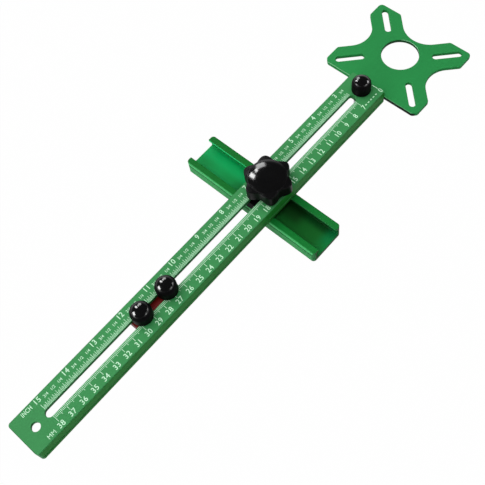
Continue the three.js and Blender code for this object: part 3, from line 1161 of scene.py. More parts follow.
@dataclass
class ScaleMarks:
    """The two printed scales beside the track's slot, as thin raised marks."""

    zero_x: float
    middle_y: float
    top_z: float
    rise: float = 0.02
    sink: float = 0.05
    slot_edge: float = 3.45
    tick_width: float = 0.33
    metric_first: int = 70
    metric_last: int = 380
    inch: float = 25.4
    inch_first: int = 86  # in parts of an inch
    inch_last: int = 480
    metric_reach: dict[int, float] = field(default_factory=lambda: {10: 9.0, 5: 7.2, 1: 6.0})
    inch_reach: dict[int, float] = field(default_factory=lambda: {32: 8.3, 8: 7.8, 4: 7.4, 2: 6.8, 1: 5.9})
    numeral_height: float = 4.0
    metric_line: float = -11.5  # where the numerals stand, from the middle line
    inch_line: float = 12.0
    fraction_height: float = 2.2
    fraction_line: float = 10.6
    zero_place: float = 50.2  # where the printed zero stands, from the scale's own zero towards the tail
    zero_line: float = -11.6
    zero_tick: tuple[float, float, float] = (-4.0, -9.0, 0.55)  # its two ends and its width
    dashes: int = 5
    dash_size: tuple[float, float] = (1.5, 0.95)
    dash_place: float = 67.2  # where the dash nearest the tail stands
    dash_line: float = -11.4
    dash_pitch: float = 3.0
    metric_unit: tuple[float, float, float] = (388.6, -11.7, 3.0)  # its place, its line and its height
    inch_unit: tuple[float, float, float, float] = (389.6, 12.0, 3.2, 8.2)  # and its width
    inch_shift: float = 0.4  # how much nearer the head the inch side stands
    inch_nudge: float = 0.5  # how much nearer the head than their ticks its numerals stand
    fraction_nudge: float = 0.4
    thin: float = 0.78  # the width of the odd inch ticks, as a share of the other side's
    thick: float = 0.92
    letter_steps: int = 3
    letter_space: float = 1.06
    boldness: float = 0.01  # not for the letter M, whose strokes would overlap
    narrowing: float = 0.94
    weld: float = 0.002

    def dab(self, bm: bmesh.types.BMesh, x: float, y: float, width: float, length: float) -> None:
        """Adds an oblong mark.

        Args:
            bm: The mesh that gathers the marks.
            x: Its middle along the track.
            y: Its middle, from the middle line.
            width: Its size along the track.
            length: Its size across it.
        """
        size = (width, length, self.rise + self.sink, 1)
        middle = (x, self.middle_y + y, self.top_z + (self.rise - self.sink) / 2)
        bmesh.ops.create_cube(bm, size=1, matrix=Matrix.Translation(middle) @ Matrix.Diagonal(size))

    def tick(self, bm: bmesh.types.BMesh, x: float, near: float, far: float, width: float) -> None:
        """Adds one tick across the track.

        Args:
            bm: The mesh that gathers the marks.
            x: Its place along the track.
            near: Its end at the slot, from the middle line.
            far: Its other end.
            width: Its width along the track.
        """
        self.dab(bm, x, (near + far) / 2, width, abs(far - near))

    def words(
        self, bm: bmesh.types.BMesh, text: str, x: float, y: float, height: float, width: float | None = None
    ) -> None:
        """Adds numerals or a unit mark, centred, with their tops away from the viewer's side.

        Args:
            bm: The mesh that gathers the marks.
            text: The numerals.
            x: Their middle.
            y: Their middle, from the middle line.
            height: Their height.
            width: Their whole width, where it is set apart from the height.
        """
        curve = bpy.data.curves.new("text", "FONT")
        curve.body = text
        curve.resolution_u = self.letter_steps
        curve.extrude = 0.5  # a depth of 1, before its scale
        curve.space_character = self.letter_space
        curve.offset = 0.0 if "M" in text else self.boldness
        holder = bpy.data.objects.new("text", curve)
        bpy.context.scene.collection.objects.link(holder)
        graph = bpy.context.evaluated_depsgraph_get()
        mesh = bpy.data.meshes.new_from_object(holder.evaluated_get(graph))
        bpy.data.objects.remove(holder)
        bpy.data.curves.remove(curve)
        xs = [vert.co.x for vert in mesh.vertices]
        ys = [vert.co.y for vert in mesh.vertices]
        grow = height / (max(ys) - min(ys))
        spread = width / (max(xs) - min(xs)) if width else grow * self.narrowing
        centre = Vector(((max(xs) + min(xs)) / 2, (max(ys) + min(ys)) / 2, 0))
        place = Vector((x, self.middle_y + y, self.top_z + (self.rise - self.sink) / 2))
        size = Matrix.Diagonal((spread, grow, self.rise + self.sink, 1))
        mesh.transform(Matrix.Translation(place) @ size @ Matrix.Translation(-centre))
        glyphs = bmesh.new()
        glyphs.from_mesh(mesh)
        bmesh.ops.remove_doubles(glyphs, verts=glyphs.verts[:], dist=self.weld)
        bmesh.ops.recalc_face_normals(glyphs, faces=glyphs.faces[:])
        glyphs.to_mesh(mesh)
        glyphs.free()
        bm.from_mesh(mesh)
        bpy.data.meshes.remove(mesh)

    def metric(self) -> bmesh.types.BMesh:
        """Marks the centimetre side, and the zero at the track's head.

        Returns:
            The marks.
        """
        bm = bmesh.new()
        for millimetre in range(self.metric_first, self.metric_last + 1):
            reach = next(far for step, far in self.metric_reach.items() if millimetre % step == 0)
            self.tick(bm, self.zero_x - millimetre, -self.slot_edge, -reach, self.tick_width)
        for centimetre in range(self.metric_first // 10, self.metric_last // 10 + 1):
            self.words(bm, str(centimetre), self.zero_x - 10 * centimetre, self.metric_line, self.numeral_height)
        self.words(bm, "0", self.zero_x - self.zero_place, self.zero_line, self.numeral_height)
        self.tick(bm, self.zero_x - self.zero_place, *self.zero_tick)
        for index in range(self.dashes):
            self.dab(bm, self.zero_x - self.dash_place + self.dash_pitch * index, self.dash_line, *self.dash_size)
        place, line, height = self.metric_unit
        self.words(bm, "MM", self.zero_x - place, line, height)
        return bm

    def imperial(self) -> bmesh.types.BMesh:
        """Marks the inch side, with its quarters in figures.

        Returns:
            The marks.
        """
        bm = bmesh.new()
        for part in range(self.inch_first, self.inch_last + 1):
            reach = next(far for step, far in self.inch_reach.items() if part % step == 0)
            x = self.zero_x - part * self.inch / INCH_PARTS + self.inch_shift
            self.tick(bm, x, self.slot_edge, reach, self.tick_width * (self.thin if part % 2 else self.thick))
            whole, rest = divmod(part, INCH_PARTS)
            if rest == 0:
                self.words(bm, str(whole), x + self.inch_nudge, self.inch_line, self.numeral_height)
            elif rest in QUARTERS:
                self.words(bm, QUARTERS[rest], x + self.fraction_nudge, self.fraction_line, self.fraction_height)
        place, line, height, width = self.inch_unit
        self.words(bm, "INCH", self.zero_x - place, line, height, width)
        return bm

    def build(self) -> None:
        """Writes both scales as pieces on the track."""
        Shape(self.metric(), weld=False).finished("metric_scale", MARK_WHITE, Body.TRACK)
        Shape(self.imperial(), weld=False).finished("inch_scale", MARK_WHITE, Body.TRACK)


@dataclass
class MeasuringTrack(Assembly):
    """The slotted measuring track with its scales."""

    section: ChannelSection = field(default_factory=ChannelSection)
    slot_width: float = 6.4
    slot_head_margin: float = 17.0
    slot_tail_margin: float = 20.7
    hang_hole_radius: float = 3.3
    hang_hole_margin: float = 11.8
    bolt_hole_radius: float = 3.2
    bolt_margin: float = 9.2
    zero_offset: float = 49.2  # from the head end to the scale's zero
    edge: float = 0.22

    def build(self) -> None:
        """Builds the track and marks it."""
        low, high = node_box("measuring_track")
        middle = (low.y + high.y) / 2
        under, over = high.z - self.section.web - OVERRUN, high.z + OVERRUN
        tail, head = low.x + self.slot_tail_margin, high.x - self.slot_head_margin
        slot = slot_corners((tail + head) / 2, middle, head - tail, self.slot_width)
        body = self.section.length(low, high, Run.ALONG_X)
        body.cut(
            Shape.slab(slot, under, over),
            Shape.bar(low.x + self.hang_hole_margin, middle, self.hang_hole_radius, under, over),
            Shape.bar(high.x - self.bolt_margin, middle, self.bolt_hole_radius, under, over),
        )
        body.softened(self.edge).finished("track_body", TRACK_GREEN, Body.TRACK, "measuring_track")
        ScaleMarks(high.x + self.zero_offset, middle, high.z).build()


@dataclass
class RouterPlate(Assembly):
    """The four-armed plate at the track's head, with its packing and its bolt hole."""

    tongue_length: float = 14.3
    tongue_round: float = 3.6
    tongue_half: float = 11.6
    hole_margin: float = 32.8
    hole_radius: float = 14.6
    hole_steps: int = 128
    arm_half: float = 12.0
    front_slot_margin: float = 11.8
    rear_slot_margin: float = 13.9
    side_slot_margin: float = 14.4
    arm_slot_length: float = 22.6
    arm_slot_width: float = 5.0
    side_hollow: float = 18.0
    front_wall: float = 3.0
    tip_round: float = 3.4
    shoulder_round: float = 2.4
    rear_chamfer: float = 3.2
    bolt_hole_radius: float = 3.2
    bolt_margin: float = 5.1  # from the tongue's end
    edge: float = 0.3
    packing_edge: float = 0.25

    def corners(self, low: Vector, high: Vector) -> list[Corner]:
        """Gives the plate's outline.

        Args:
            low: The lowest corner of the plate's box.
            high: The highest corner.

        Returns:
            The corners about the middle line, anticlockwise.
        """
        top = (high.y - low.y) / 2
        edge = low.x + self.tongue_length
        diagonal = self.arm_half * math.sqrt(2)
        arm_y = top - self.side_slot_margin
        front_outer = arm_y - (high.x - self.front_slot_margin) + diagonal
        front_inner = front_outer - 2 * diagonal
        rear_inner = arm_y + edge + self.rear_slot_margin + diagonal
        hollow_x = high.x - self.hole_margin + self.hole_radius + self.front_wall
        hollow = (hollow_x + front_inner) / (math.sqrt(2) - 1)
        shoulder = self.shoulder_round
        upper = [
            Corner(low.x, self.tongue_half, self.tongue_round),
            Corner(edge, self.tongue_half),
            Corner(edge, top - self.rear_chamfer, shoulder),
            Corner(edge + self.rear_chamfer, top, shoulder),
            Corner(rear_inner - top, top, shoulder),
            Corner((rear_inner - front_outer) / 2, (rear_inner + front_outer) / 2, self.side_hollow),
            Corner(top - front_outer, top, shoulder),
            Corner(high.x, top, self.tip_round),
            Corner(high.x, high.x + front_inner, shoulder),
        ]
        lower = [Corner(corner.x, -corner.y, corner.radius) for corner in reversed(upper)]
        return list(reversed([*upper, Corner(-front_inner, 0, hollow), *lower]))

    def build(self) -> None:
        """Builds the plate and its packing."""
        low, high = node_box("router_plate")
        middle = (low.y + high.y) / 2
        under, over = low.z - OVERRUN, high.z + OVERRUN
        cutters = [
            Shape.bar(high.x - self.hole_margin, 0, self.hole_radius, under, over, self.hole_steps),
            Shape.bar(low.x + self.bolt_margin, 0, self.bolt_hole_radius, under, over),
        ]
        arm_y = (high.y - low.y) / 2 - self.side_slot_margin
        rear_x = low.x + self.tongue_length + self.rear_slot_margin
        for side in (1, -1):
            for x, lean in ((high.x - self.front_slot_margin, 1), (rear_x, -1)):
                slot = Shape.slab(slot_corners(0, 0, self.arm_slot_length, self.arm_slot_width), under, over)
                turn = Matrix.Rotation(side * lean * math.pi / 4, 4, "Z")
                cutters.append(slot.moved(Matrix.Translation((x, side * arm_y, 0)) @ turn))
        body = Shape.slab(self.corners(low, high), low.z, high.z).cut(*cutters)
        body.moved(Matrix.Translation((0, middle, 0)))
        body.softened(self.edge, 3).finished("plate_body", PLATE_GREEN, Body.TRACK, "router_plate")
        self.build_packing(middle)

    def build_packing(self, middle: float) -> None:
        """Builds the packing between the plate's tongue and the track's web.

        Args:
            middle: The track's middle line.
        """
        low, high = node_box("plate_spacer")
        body = Shape.plank(low, high, self.shoulder_round)
        hole = low.x + self.bolt_margin
        body.cut(Shape.bar(hole, middle, self.bolt_hole_radius, low.z - OVERRUN, high.z + OVERRUN))
        body.softened(self.packing_edge).finished("packing_block", DULL_BLACK, Body.TRACK, "plate_spacer")


@dataclass
class Guide(Assembly):
    """The cross guide channel."""

    section: ChannelSection = field(default_factory=ChannelSection)
    edge: float = 0.22

    def build(self) -> None:
        """Builds the channel."""
        low, high = node_box("guide_channel")
        body = self.section.length(low, high, Run.ALONG_Y)
        body.softened(self.edge).finished("guide_rail", GUIDE_GREEN, Body.GUIDE, "guide_channel")


@dataclass
class Insert:
    """A threaded brass insert, blind at its top."""

    wall: float = 1.6
    break_edge: float = 0.25
    clearance: float = 0.3
    steps: int = 48

    def bore(self, node: str, axis: Vector, foot: float) -> Shape:
        """Gives the cutter of the hole that a knob needs for its insert.

        Args:
            node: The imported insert.
            axis: A place on the knob's axis.
            foot: The height of the knob's underside.

        Returns:
            The solid.
        """
        low, high = node_box(node)
        radius = (high.x - low.x) / 2 + self.clearance
        return Shape.bar(axis.x, axis.y, radius, foot - OVERRUN, high.z + self.clearance, self.steps)

    def build(self, node: str, name: str, body: Body) -> None:
        """Builds an insert in a packed one's place.

        Args:
            node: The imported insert.
            name: The piece's name.
            body: The body it rides on.
        """
        low, high = node_box(node)
        radius = (high.x - low.x) / 2
        bore = radius - self.wall
        edge = self.break_edge
        profile = [
            Corner(0, high.z - self.wall),
            Corner(bore, high.z - self.wall, edge),
            Corner(bore, low.z + edge),
            Corner(bore + edge, low.z),
            Corner(radius, low.z, edge),
            Corner(radius, high.z, edge),
            Corner(0, high.z),
        ]
        middle = (low + high) / 2
        Shape.turned(profile, middle.x, middle.y, self.steps).finished(name, BRASS, body, node)


@dataclass
class DomeKnob(Assembly):
    """A small dome knob, whose skirt hides its washer, with its insert."""

    node: str
    body: Body
    foot: float = 0.4
    side: float = 6.0
    skirt: float = 0.9  # how far the skirt hangs below the knob's seat
    recess: float = 5.8
    recess_round: float = 0.2
    rim_round: float = 0.15
    side_round: float = 0.3
    dome_steps: int = 24
    weld: float = 0.02  # the dome's finest steps are joined
    steps: int = 96

    def dome_profile(self, radius: float, low: float, high: float) -> bmesh.types.BMesh:
        """Lays the profile: a skirt and an upright side under a quarter of an ellipse.

        Args:
            radius: The knob's radius.
            low: The skirt's rim.
            high: Its crown.

        Returns:
            The open chain from axis to axis.
        """
        seat = low + self.skirt
        corners = [
            Corner(0, seat),
            Corner(self.recess, seat, self.recess_round),
            Corner(self.recess, low, self.rim_round),
            Corner(radius - self.foot, low, self.rim_round),
            Corner(radius, low + self.foot, self.side_round),
            Corner(radius, seat + self.side),
            Corner(radius, high),
            Corner(0, high),
        ]
        bm = outline(corners, closed=False)
        crown = max(bm.verts, key=lambda vert: vert.co.x + vert.co.y)
        round_off(bm, crown, 100, "PERCENT", self.dome_steps)
        bmesh.ops.remove_doubles(bm, verts=bm.verts[:], dist=self.weld)
        return bm

    def build(self) -> None:
        """Builds the knob and its insert."""
        low, high = node_box(self.node)
        middle = (low + high) / 2
        profile = self.dome_profile((high.x - low.x) / 2, low.z, high.z)
        body = Shape.spun(profile, middle.x, middle.y, self.steps)
        insert = Insert()
        body.cut(insert.bore(self.node + "_insert", middle, low.z))
        body.finished(self.node + "_dome", KNOB_BLACK, self.body, self.node)
        insert.build(self.node + "_insert", self.node + "_bush", self.body)


@dataclass
class StarKnob(Assembly):
    """The large knob with six lobes."""

    radius: float = 18.2
    lobes: int = 6
    lobe_depth: float = 3.8
    phase: float = math.radians(-12)
    hub_radius: float = 9.5
    hub_height: float = 0.4
    edge: float = 0.5
    side: float = 10.4
    shelf_rise: float = 0.4
    shoulder_inset: float = 4.0
    hub_round: float = 0.15
    foot_round: float = 0.4
    lower_round: float = 0.6
    upper_round: float = 1.1
    shelf_round: float = 0.6
    dome_power: float = 2.73  # 2 gives a round cap, more a flatter middle with a steeper rim
    dome_steps: int = 28
    steps: int = 144

    def swing(self, body: Shape, side_low: float) -> None:
        """Draws the turned shape in between the lobes, on top from the dome on and underneath from the hub on.

        The dome itself stays round.

        Args:
            body: The turned shape about the origin's axis.
            side_low: The height of the lobes' underside.
        """
        for vert in body.mesh.vertices:
            reach = math.hypot(vert.co.x, vert.co.y)
            if reach < WELD:
                continue
            start = self.hub_radius if vert.co.z < side_low + WELD else self.radius - self.shoulder_inset
            share = min(1.0, max(0.0, (reach - start) / (self.radius - start)))
            share = share * share * (3 - 2 * share)
            angle = math.atan2(vert.co.y, vert.co.x) - self.phase
            wave = 0.5 - 0.5 * math.cos(self.lobes * angle)
            scale = 1 - share * wave * self.lobe_depth / reach
            vert.co.x *= scale
            vert.co.y *= scale

    def profile(self, low: float, high: float) -> list[Corner]:
        """Gives the turned profile of the lobes' tips and the low dome over them.

        Args:
            low: The knob's foot.
            high: Its crown.

        Returns:
            The corners, from axis to axis.
        """
        side_low = low + self.hub_height
        side_high = side_low + self.side
        tip = self.radius - self.edge
        dome_low = side_high + self.shelf_rise
        rim = self.radius - self.shoulder_inset
        dome = []
        for step in range(self.dome_steps + 1):
            share = 1 - step / self.dome_steps
            dome.append(Corner(rim * share, high - (high - dome_low) * share**self.dome_power))
        return [
            Corner(0, low),
            Corner(self.hub_radius, low, self.hub_round),
            Corner(self.hub_radius, side_low, self.hub_round),
            Corner(tip, side_low, self.foot_round),
            Corner(self.radius, side_low + self.edge, self.lower_round),
            Corner(self.radius, side_high - self.edge, self.upper_round),
            Corner(tip, side_high, self.shelf_round),
            *dome,
        ]

    def build(self) -> None:
        """Builds the knob and its insert."""
        low, high = node_box("star_knob")
        insert_low, insert_high = node_box("star_knob_insert")
        middle = (insert_low + insert_high) / 2
        body = Shape.spun(outline(self.profile(low.z, high.z), closed=False), 0, 0, self.steps)
        self.swing(body, low.z + self.hub_height)
        body.moved(Matrix.Translation((middle.x, middle.y, 0)))
        insert = Insert()
        body.cut(insert.bore("star_knob_insert", middle, low.z))
        body.finished("star_knob_moulding", STAR_BLACK, Body.STAR_KNOB, "star_knob")
        insert.build("star_knob_insert", "star_knob_bush", Body.STAR_KNOB)


@dataclass
class Fastener:
    """A threaded rod, with a chamfered hexagon head where it is a bolt."""

    radius: float = 2.9
    pitch: float = 1.0
    root: float = 0.5
    crest: tuple[float, float] = (0.4, 0.6)  # where a thread's crest starts and ends, as shares of the pitch
    plain_start: float = 0.4  # the length without thread at the lower end
    plain_length: float = 1.2  # the least length without thread at both ends together
    steps: int = 48
    head_height: float = 4.0
    head_across: float = 9.9
    head_face: float = 0.94  # the round face of the head, as a share of the width across its flats
    head_slope: float = 0.55
    head_steps: int = 72
    head_spare: float = 0.05  # how far the turned shape reaches past the hexagon's corners
    head_trim: float = 0.01  # how far the hexagon reaches past the turned shape's faces
    overlap: float = 0.5  # how far the rod reaches into the head

    def rod(self, x: float, y: float, low: float, high: float) -> Shape:
        """Turns a threaded rod.

        Args:
            x: Its axis.
            y: Its axis.
            low: Its lower end.
            high: Its upper end.

        Returns:
            The solid.
        """
        turns = int((high - low - self.plain_length) / self.pitch)
        profile = [Corner(0, low), Corner(self.radius - self.root, low)]
        start = low + self.plain_start
        for turn in range(turns):
            height = start + turn * self.pitch
            profile += [Corner(self.radius, height + self.pitch * share) for share in self.crest]
            profile.append(Corner(self.radius - self.root, height + self.pitch))
        profile += [Corner(self.radius - self.root, high), Corner(0, high)]
        return Shape.turned(profile, x, y, self.steps)

    def head(self, x: float, y: float, low: float, high: float) -> Shape:
        """Makes a hexagon head whose lower corners are turned off.

        Args:
            x: Its axis.
            y: Its axis.
            low: Its lower face.
            high: Its upper face.

        Returns:
            The solid.
        """
        corner = self.head_across / math.sqrt(3)
        flat = self.head_across / 2 * self.head_face
        turned = [
            Corner(0, low),
            Corner(flat, low),
            Corner(corner + self.head_spare, low + (corner - flat) * self.head_slope),
            Corner(corner + self.head_spare, high),
            Corner(0, high),
        ]
        hexagon = Shape.bar(x, y, corner, low - self.head_trim, high + self.head_trim, HEXAGON)
        return Shape.turned(turned, x, y, self.head_steps).keep(hexagon)

    def bolt(self, node: str, name: str, body: Body) -> None:
        """Builds a bolt in a packed one's place.

        Args:
            node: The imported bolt.
            name: The piece's name.
            body: The body it rides on.
        """
        low, high = node_box(node)
        middle = (low + high) / 2
        head_top = low.z + self.head_height
        shape = self.rod(middle.x, middle.y, head_top - self.overlap, high.z)
        shape.add(self.head(middle.x, middle.y, low.z, head_top))
        shape.softened(0).finished(name, STEEL, body, node)

    def stud(self, node: str, name: str, body: Body) -> None:
        """Builds a plain stud in a packed one's place.

        Args:
            node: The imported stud.
            name: The piece's name.
            body: The body it rides on.
        """
        low, high = node_box(node)
        middle = (low + high) / 2
        self.rod(middle.x, middle.y, low.z, high.z).finished(name, STEEL, body, node)


@dataclass
class Washer:
    """A flat washer with broken edges."""

    bore: float = 3.2
    edge: float = 0.18
    steps: int = 64

    def build(self, node: str, name: str, body: Body) -> None:
        """Builds a washer in a packed one's place.

        Args:
            node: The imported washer.
            name: The piece's name.
            body: The body it rides on.
        """
        low, high = node_box(node)
        middle = (low + high) / 2
        radius = (high.x - low.x) / 2
        section = [
            Corner(self.bore, low.z, self.edge),
            Corner(radius, low.z, self.edge),
            Corner(radius, high.z, self.edge),
            Corner(self.bore, high.z, self.edge),
        ]
        Shape.turned(section, middle.x, middle.y, self.steps, ring=True).finished(name, STEEL, body, node)


@dataclass
class Carriage(Assembly):
    """The key, plate and stud that clamp the guide under the track."""

    hole_radius: float = 3.2
    key_round: float = 0.6
    neck_half: float = 9.5
    shoulder_rise: float = 2.4  # from the track's lower face to the key's shoulders
    neck_overlap: float = 0.3
    foot_overlap: float = 0.2
    guide_clearance: float = 0.1
    key_edge: float = 0.25
    plate_round: float = 1.2
    plate_edge: float = 0.3

    def build(self) -> None:
        """Builds the clamp's pieces."""
        stud_low, stud_high = node_box("clamp_stud")
        stud = (stud_low + stud_high) / 2
        self.build_key(stud)
        self.build_plate(stud)
        Fastener().stud("clamp_stud", "clamp_screw", Body.CARRIAGE)
        Washer().build("star_knob_washer", "star_knob_disc", Body.CARRIAGE)

    def build_key(self, stud: Vector) -> None:
        """Builds the black key between the track and the guide.

        Args:
            stud: The middle of the clamp stud.
        """
        low, high = node_box("guide_key")
        track_low, _ = node_box("measuring_track")
        _, guide_high = node_box("guide_channel")
        middle = (low + high) / 2
        shoulder = track_low.z + self.shoulder_rise
        neck_low = guide_high.z + self.guide_clearance
        upper = Shape.plank(Vector((low.x, low.y, shoulder)), high, self.key_round)
        neck = Shape.plank(
            Vector((low.x, middle.y - self.neck_half, neck_low)),
            Vector((high.x, middle.y + self.neck_half, shoulder + self.neck_overlap)),
        )
        foot = Shape.plank(
            Vector((middle.x - self.neck_half, middle.y - self.neck_half, low.z)),
            Vector((middle.x + self.neck_half, middle.y + self.neck_half, neck_low + self.foot_overlap)),
        )
        hole = Shape.bar(stud.x, stud.y, self.hole_radius, low.z - OVERRUN, high.z + OVERRUN)
        body = upper.add(neck, foot).cut(hole).softened(self.key_edge)
        body.finished("key_block", DULL_BLACK, Body.CARRIAGE, "guide_key")

    def build_plate(self, stud: Vector) -> None:
        """Builds the steel plate that runs in the guide.

        Args:
            stud: The middle of the clamp stud.
        """
        low, high = node_box("clamp_plate")
        body = Shape.plank(low, high, self.plate_round)
        body.cut(Shape.bar(stud.x, stud.y, self.hole_radius, low.z - OVERRUN, high.z + OVERRUN))
        body.softened(self.plate_edge).finished("clamp_block", STEEL, Body.CARRIAGE, "clamp_plate")


@dataclass
class PivotCarrier(Assembly):
    """The red block with its pivot pin and its two clamping bolts."""

    hole_radius: float = 3.2
    neck_half: float = 9.5
    edge_round: float = 0.6
    shoulder_rise: float = 2.0  # from the block's lower face
    pocket_depth: float = 4.3
    pocket_across: float = 9.9
    pocket_clearance: float = 0.3
    edge: float = 0.25
    neck_overlap: float = 0.3
    hole_steps: int = 48
    pin_seat: float = 5.3
    pin_hole: float = 3.3
    pin_radius: float = 3
    pin_point: float = 3  # the height of its point
    pin_top: float = 2.6  # its radius where its top is turned off
    pin_chamfer: float = 0.4
    pin_steps: int = 64
    point_round: float = 0.6
    neck_round: float = 0.3
    collar_height: float = 2
    collar_round: float = 0.35
    collar_clearance: float = 0.1

    def build(self) -> None:
        """Builds the block and what it carries."""
        low, high = node_box("pivot_block")
        middle = (low + high) / 2
        shoulder = low.z + self.shoulder_rise
        body = Shape.plank(Vector((low.x, low.y, shoulder)), high, self.edge_round)
        body.add(
            Shape.plank(
                Vector((low.x, middle.y - self.neck_half, low.z)),
                Vector((high.x, middle.y + self.neck_half, shoulder + self.neck_overlap)),
                self.edge_round,
            )
        )
        under, steps = low.z - OVERRUN, self.hole_steps
        cutters = [Shape.bar(middle.x, middle.y, self.pin_hole, under, low.z + self.pin_seat, steps)]
        for node in ("front_clamp_bolt", "rear_clamp_bolt"):
            bolt_low, bolt_high = node_box(node)
            x = (bolt_low.x + bolt_high.x) / 2
            corner = self.pocket_across / math.sqrt(3) + self.pocket_clearance
            cutters.append(Shape.bar(x, middle.y, self.hole_radius, low.z, high.z + OVERRUN, steps))
            cutters.append(Shape.bar(x, middle.y, corner, under, low.z + self.pocket_depth, HEXAGON))
        body.cut(*cutters).softened(self.edge)
        body.finished("pivot_carrier", BLOCK_RED, Body.PIVOT, "pivot_block")
        for place in ("front", "rear"):
            Fastener().bolt(place + "_clamp_bolt", place + "_screw", Body.PIVOT)
            Washer().build(place + "_knob_washer", place + "_disc", Body.PIVOT)
        self.build_pin()

    def build_pin(self) -> None:
        """Builds the pointed pin under the block."""
        low, high = node_box("pivot_pin")
        middle = (low + high) / 2
        collar = (high.x - low.x) / 2
        block_low, _ = node_box("pivot_block")
        collar_top = block_low.z - self.collar_clearance
        collar_low = collar_top - self.collar_height
        profile = [
            Corner(0, low.z),
            Corner(self.pin_radius, low.z + self.pin_point, self.point_round),
            Corner(self.pin_radius, collar_low, self.neck_round),
            Corner(collar, collar_low, self.collar_round),
            Corner(collar, collar_top, self.collar_round),
            Corner(self.pin_radius, collar_top),
            Corner(self.pin_radius, high.z - self.pin_chamfer),
            Corner(self.pin_top, high.z),
            Corner(0, high.z),
        ]
        pin = Shape.turned(profile, middle.x, middle.y, self.pin_steps)
        pin.finished("pivot_point", STEEL, Body.PIVOT, "pivot_pin")


@dataclass
class HeadFixing(Assembly):
    """The bolt and washer that hold the router plate."""

    def build(self) -> None:
        """Builds the bolt and the washer."""
        Fastener().bolt("plate_bolt", "plate_screw", Body.TRACK)
        Washer().build("end_knob_washer", "end_knob_disc", Body.TRACK)


@dataclass(frozen=True)
class Lamp:
    """A soft oblong lamp that faces the jig. Its place and its size are angles, seen from the jig."""

    name: str
    azimuth: float  # from +x towards +y
    elevation: float
    width: float
    height: float
    glow: float  # how bright its face is, where 1 is white
    mirrored: bool = True  # True for a lamp that shows in shiny faces, False for one that lights the dull ones
    distance: float = 2.0

    def build(self) -> None:
        """Puts the lamp into the scene."""
        around, up = math.radians(self.azimuth), math.radians(self.elevation)
        aim = Vector((math.cos(around) * math.cos(up), math.sin(around) * math.cos(up), math.sin(up)))
        data = bpy.data.lights.new(self.name, "AREA")
        data.shape = "RECTANGLE"
        data.size = 2 * self.distance * math.tan(math.radians(self.width) / 2)
        data.size_y = 2 * self.distance * math.tan(math.radians(self.height) / 2)
        data.energy = self.glow * GLOW_POWER * data.size * data.size_y
        lamp = bpy.data.objects.new(self.name, data)
        lamp.location = aim * self.distance
        lamp.rotation_euler = aim.to_track_quat("Z", "Y").to_euler()
        lamp.visible_glossy = self.mirrored
        lamp.visible_diffuse = not self.mirrored
        bpy.context.scene.collection.objects.link(lamp)


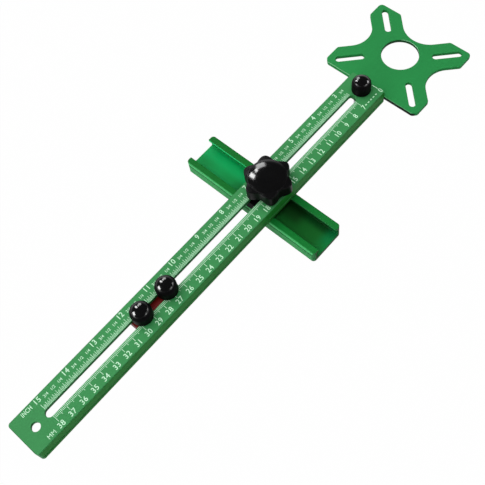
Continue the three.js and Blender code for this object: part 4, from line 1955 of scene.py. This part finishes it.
@dataclass
class Studio(Assembly):
    """The floor, the lamps, the sky and the camera."""

    camera_place: tuple[float, float, float] = (-0.175146, -0.222245, 0.519941)
    camera_right: tuple[float, float, float] = (0.66201307, -0.74347939, -0.09474756)
    camera_up: tuple[float, float, float] = (0.6960414, 0.56298446, 0.4456174)
    camera_back: tuple[float, float, float] = (-0.27796594, -0.36095276, 0.8901955)
    lens: float = 59.5514
    sensor: float = 36.0
    clip: tuple[float, float] = (0.01, 20.0)
    floor_size: float = 6.0
    floor_glow: float = 0.992
    floor_grey: float = 0.5
    sky_fill: float = 0.12  # how bright the sky lights, where 1 is how it is seen
    sky_rise: tuple[float, float] = (0.02, 0.4)  # the heights between which it dims
    ceiling: float = 0.06  # how bright the sky is overhead, where the horizon is 1
    lamps: tuple[Lamp, ...] = (
        Lamp("key lamp", 87, 40, 10, 20, 16),
        Lamp("bar lamp", 69, 39, 5, 12, 15),
        Lamp("head lamp", 57, 29, 15, 22, 6),
        Lamp("tail lamp", 144, 36, 24, 18, 17),
        Lamp("low strip", 166, 18, 8, 20, 14),
        Lamp("front lamp", -71, 35, 22, 14, 11),
        Lamp("corner lamp", -28, 26, 20, 16, 8),
        Lamp("soft ceiling", 95, 80, 75, 75, 1.2, mirrored=False),
        Lamp("soft window", 105, 42, 40, 30, 1.5, mirrored=False),
        Lamp("side window", 182, 24, 40, 24, 2.6, mirrored=False),
    )

    def build(self) -> None:
        """Builds everything around the jig."""
        self.build_sky()
        self.build_floor()
        for lamp in self.lamps:
            lamp.build()
        self.build_camera()
        bpy.context.scene.view_settings.view_transform = "Standard"

    def build_sky(self) -> None:
        """Makes the white surroundings, dimmer as a light than to the eye."""
        world = bpy.data.worlds.new("surroundings")
        bpy.context.scene.world = world
        world.use_nodes = True
        nodes = Nodes(world.node_tree)
        output, mix = nodes.new("ShaderNodeOutputWorld"), nodes.new("ShaderNodeMixShader")
        nodes.link(nodes.seen(), mix.inputs[0])
        height = nodes.split("Generated").outputs["Z"]
        for socket, strength in ((1, self.sky_fill), (2, 1.0)):
            dimmed = nodes.ranged(height, *self.sky_rise, strength, self.ceiling * strength, "SMOOTHSTEP")
            sky = nodes.new("ShaderNodeBackground")
            sky.inputs["Color"].default_value = (1, 1, 1, 1)
            nodes.link(dimmed, sky.inputs["Strength"])
            nodes.link(sky.outputs[0], mix.inputs[socket])
        nodes.link(mix.outputs[0], output.inputs["Surface"])

    def build_floor(self) -> None:
        """Lays the pale floor, which keeps a faint shadow."""
        bm = bmesh.new()
        bmesh.ops.create_grid(bm, x_segments=1, y_segments=1, size=self.floor_size / 2)
        mesh = bpy.data.meshes.new("studio_floor")
        bm.to_mesh(mesh)
        bm.free()
        floor = placed("studio_floor", mesh)
        material = bpy.data.materials.new("pale floor")
        material.use_nodes = True
        nodes = Nodes(material.node_tree)
        output, mix = nodes.new("ShaderNodeOutputMaterial"), nodes.new("ShaderNodeMixShader")
        paper = nodes.new("ShaderNodeBsdfDiffuse")
        paper.inputs["Color"].default_value = (self.floor_grey,) * 3 + (1,)
        glow = nodes.new("ShaderNodeEmission")
        glow.inputs["Strength"].default_value = 1.0
        share = nodes.maths("MULTIPLY", nodes.seen())
        share.inputs[1].default_value = self.floor_glow
        for index, node in enumerate((share, paper, glow)):
            nodes.link(node.outputs[0], mix.inputs[index])
        nodes.link(mix.outputs[0], output.inputs["Surface"])
        mesh.materials.append(material)

    def build_camera(self) -> None:
        """Places the camera at the photograph's view."""
        data = bpy.data.cameras.new("camera")
        data.lens = self.lens
        data.sensor_width = self.sensor
        data.clip_start, data.clip_end = self.clip
        camera = bpy.data.objects.new("camera", data)
        axes = Matrix((self.camera_right, self.camera_up, self.camera_back)).transposed()
        camera.matrix_world = Matrix.Translation(self.camera_place) @ axes.to_4x4()
        bpy.context.scene.collection.objects.link(camera)
        bpy.context.scene.camera = camera


def main() -> None:
    """Builds the jig and its studio."""
    assemblies: list[Assembly] = [
        Studio(),
        MeasuringTrack(),
        RouterPlate(),
        HeadFixing(),
        Guide(),
        Carriage(),
        StarKnob(),
        PivotCarrier(),
        DomeKnob("end_knob", Body.END_KNOB),
        DomeKnob("front_knob", Body.FRONT_KNOB),
        DomeKnob("rear_knob", Body.REAR_KNOB),
    ]
    for assembly in assemblies:
        log.info("building %s", type(assembly).__name__)
        assembly.build()


if __name__ == "__main__":
    main()
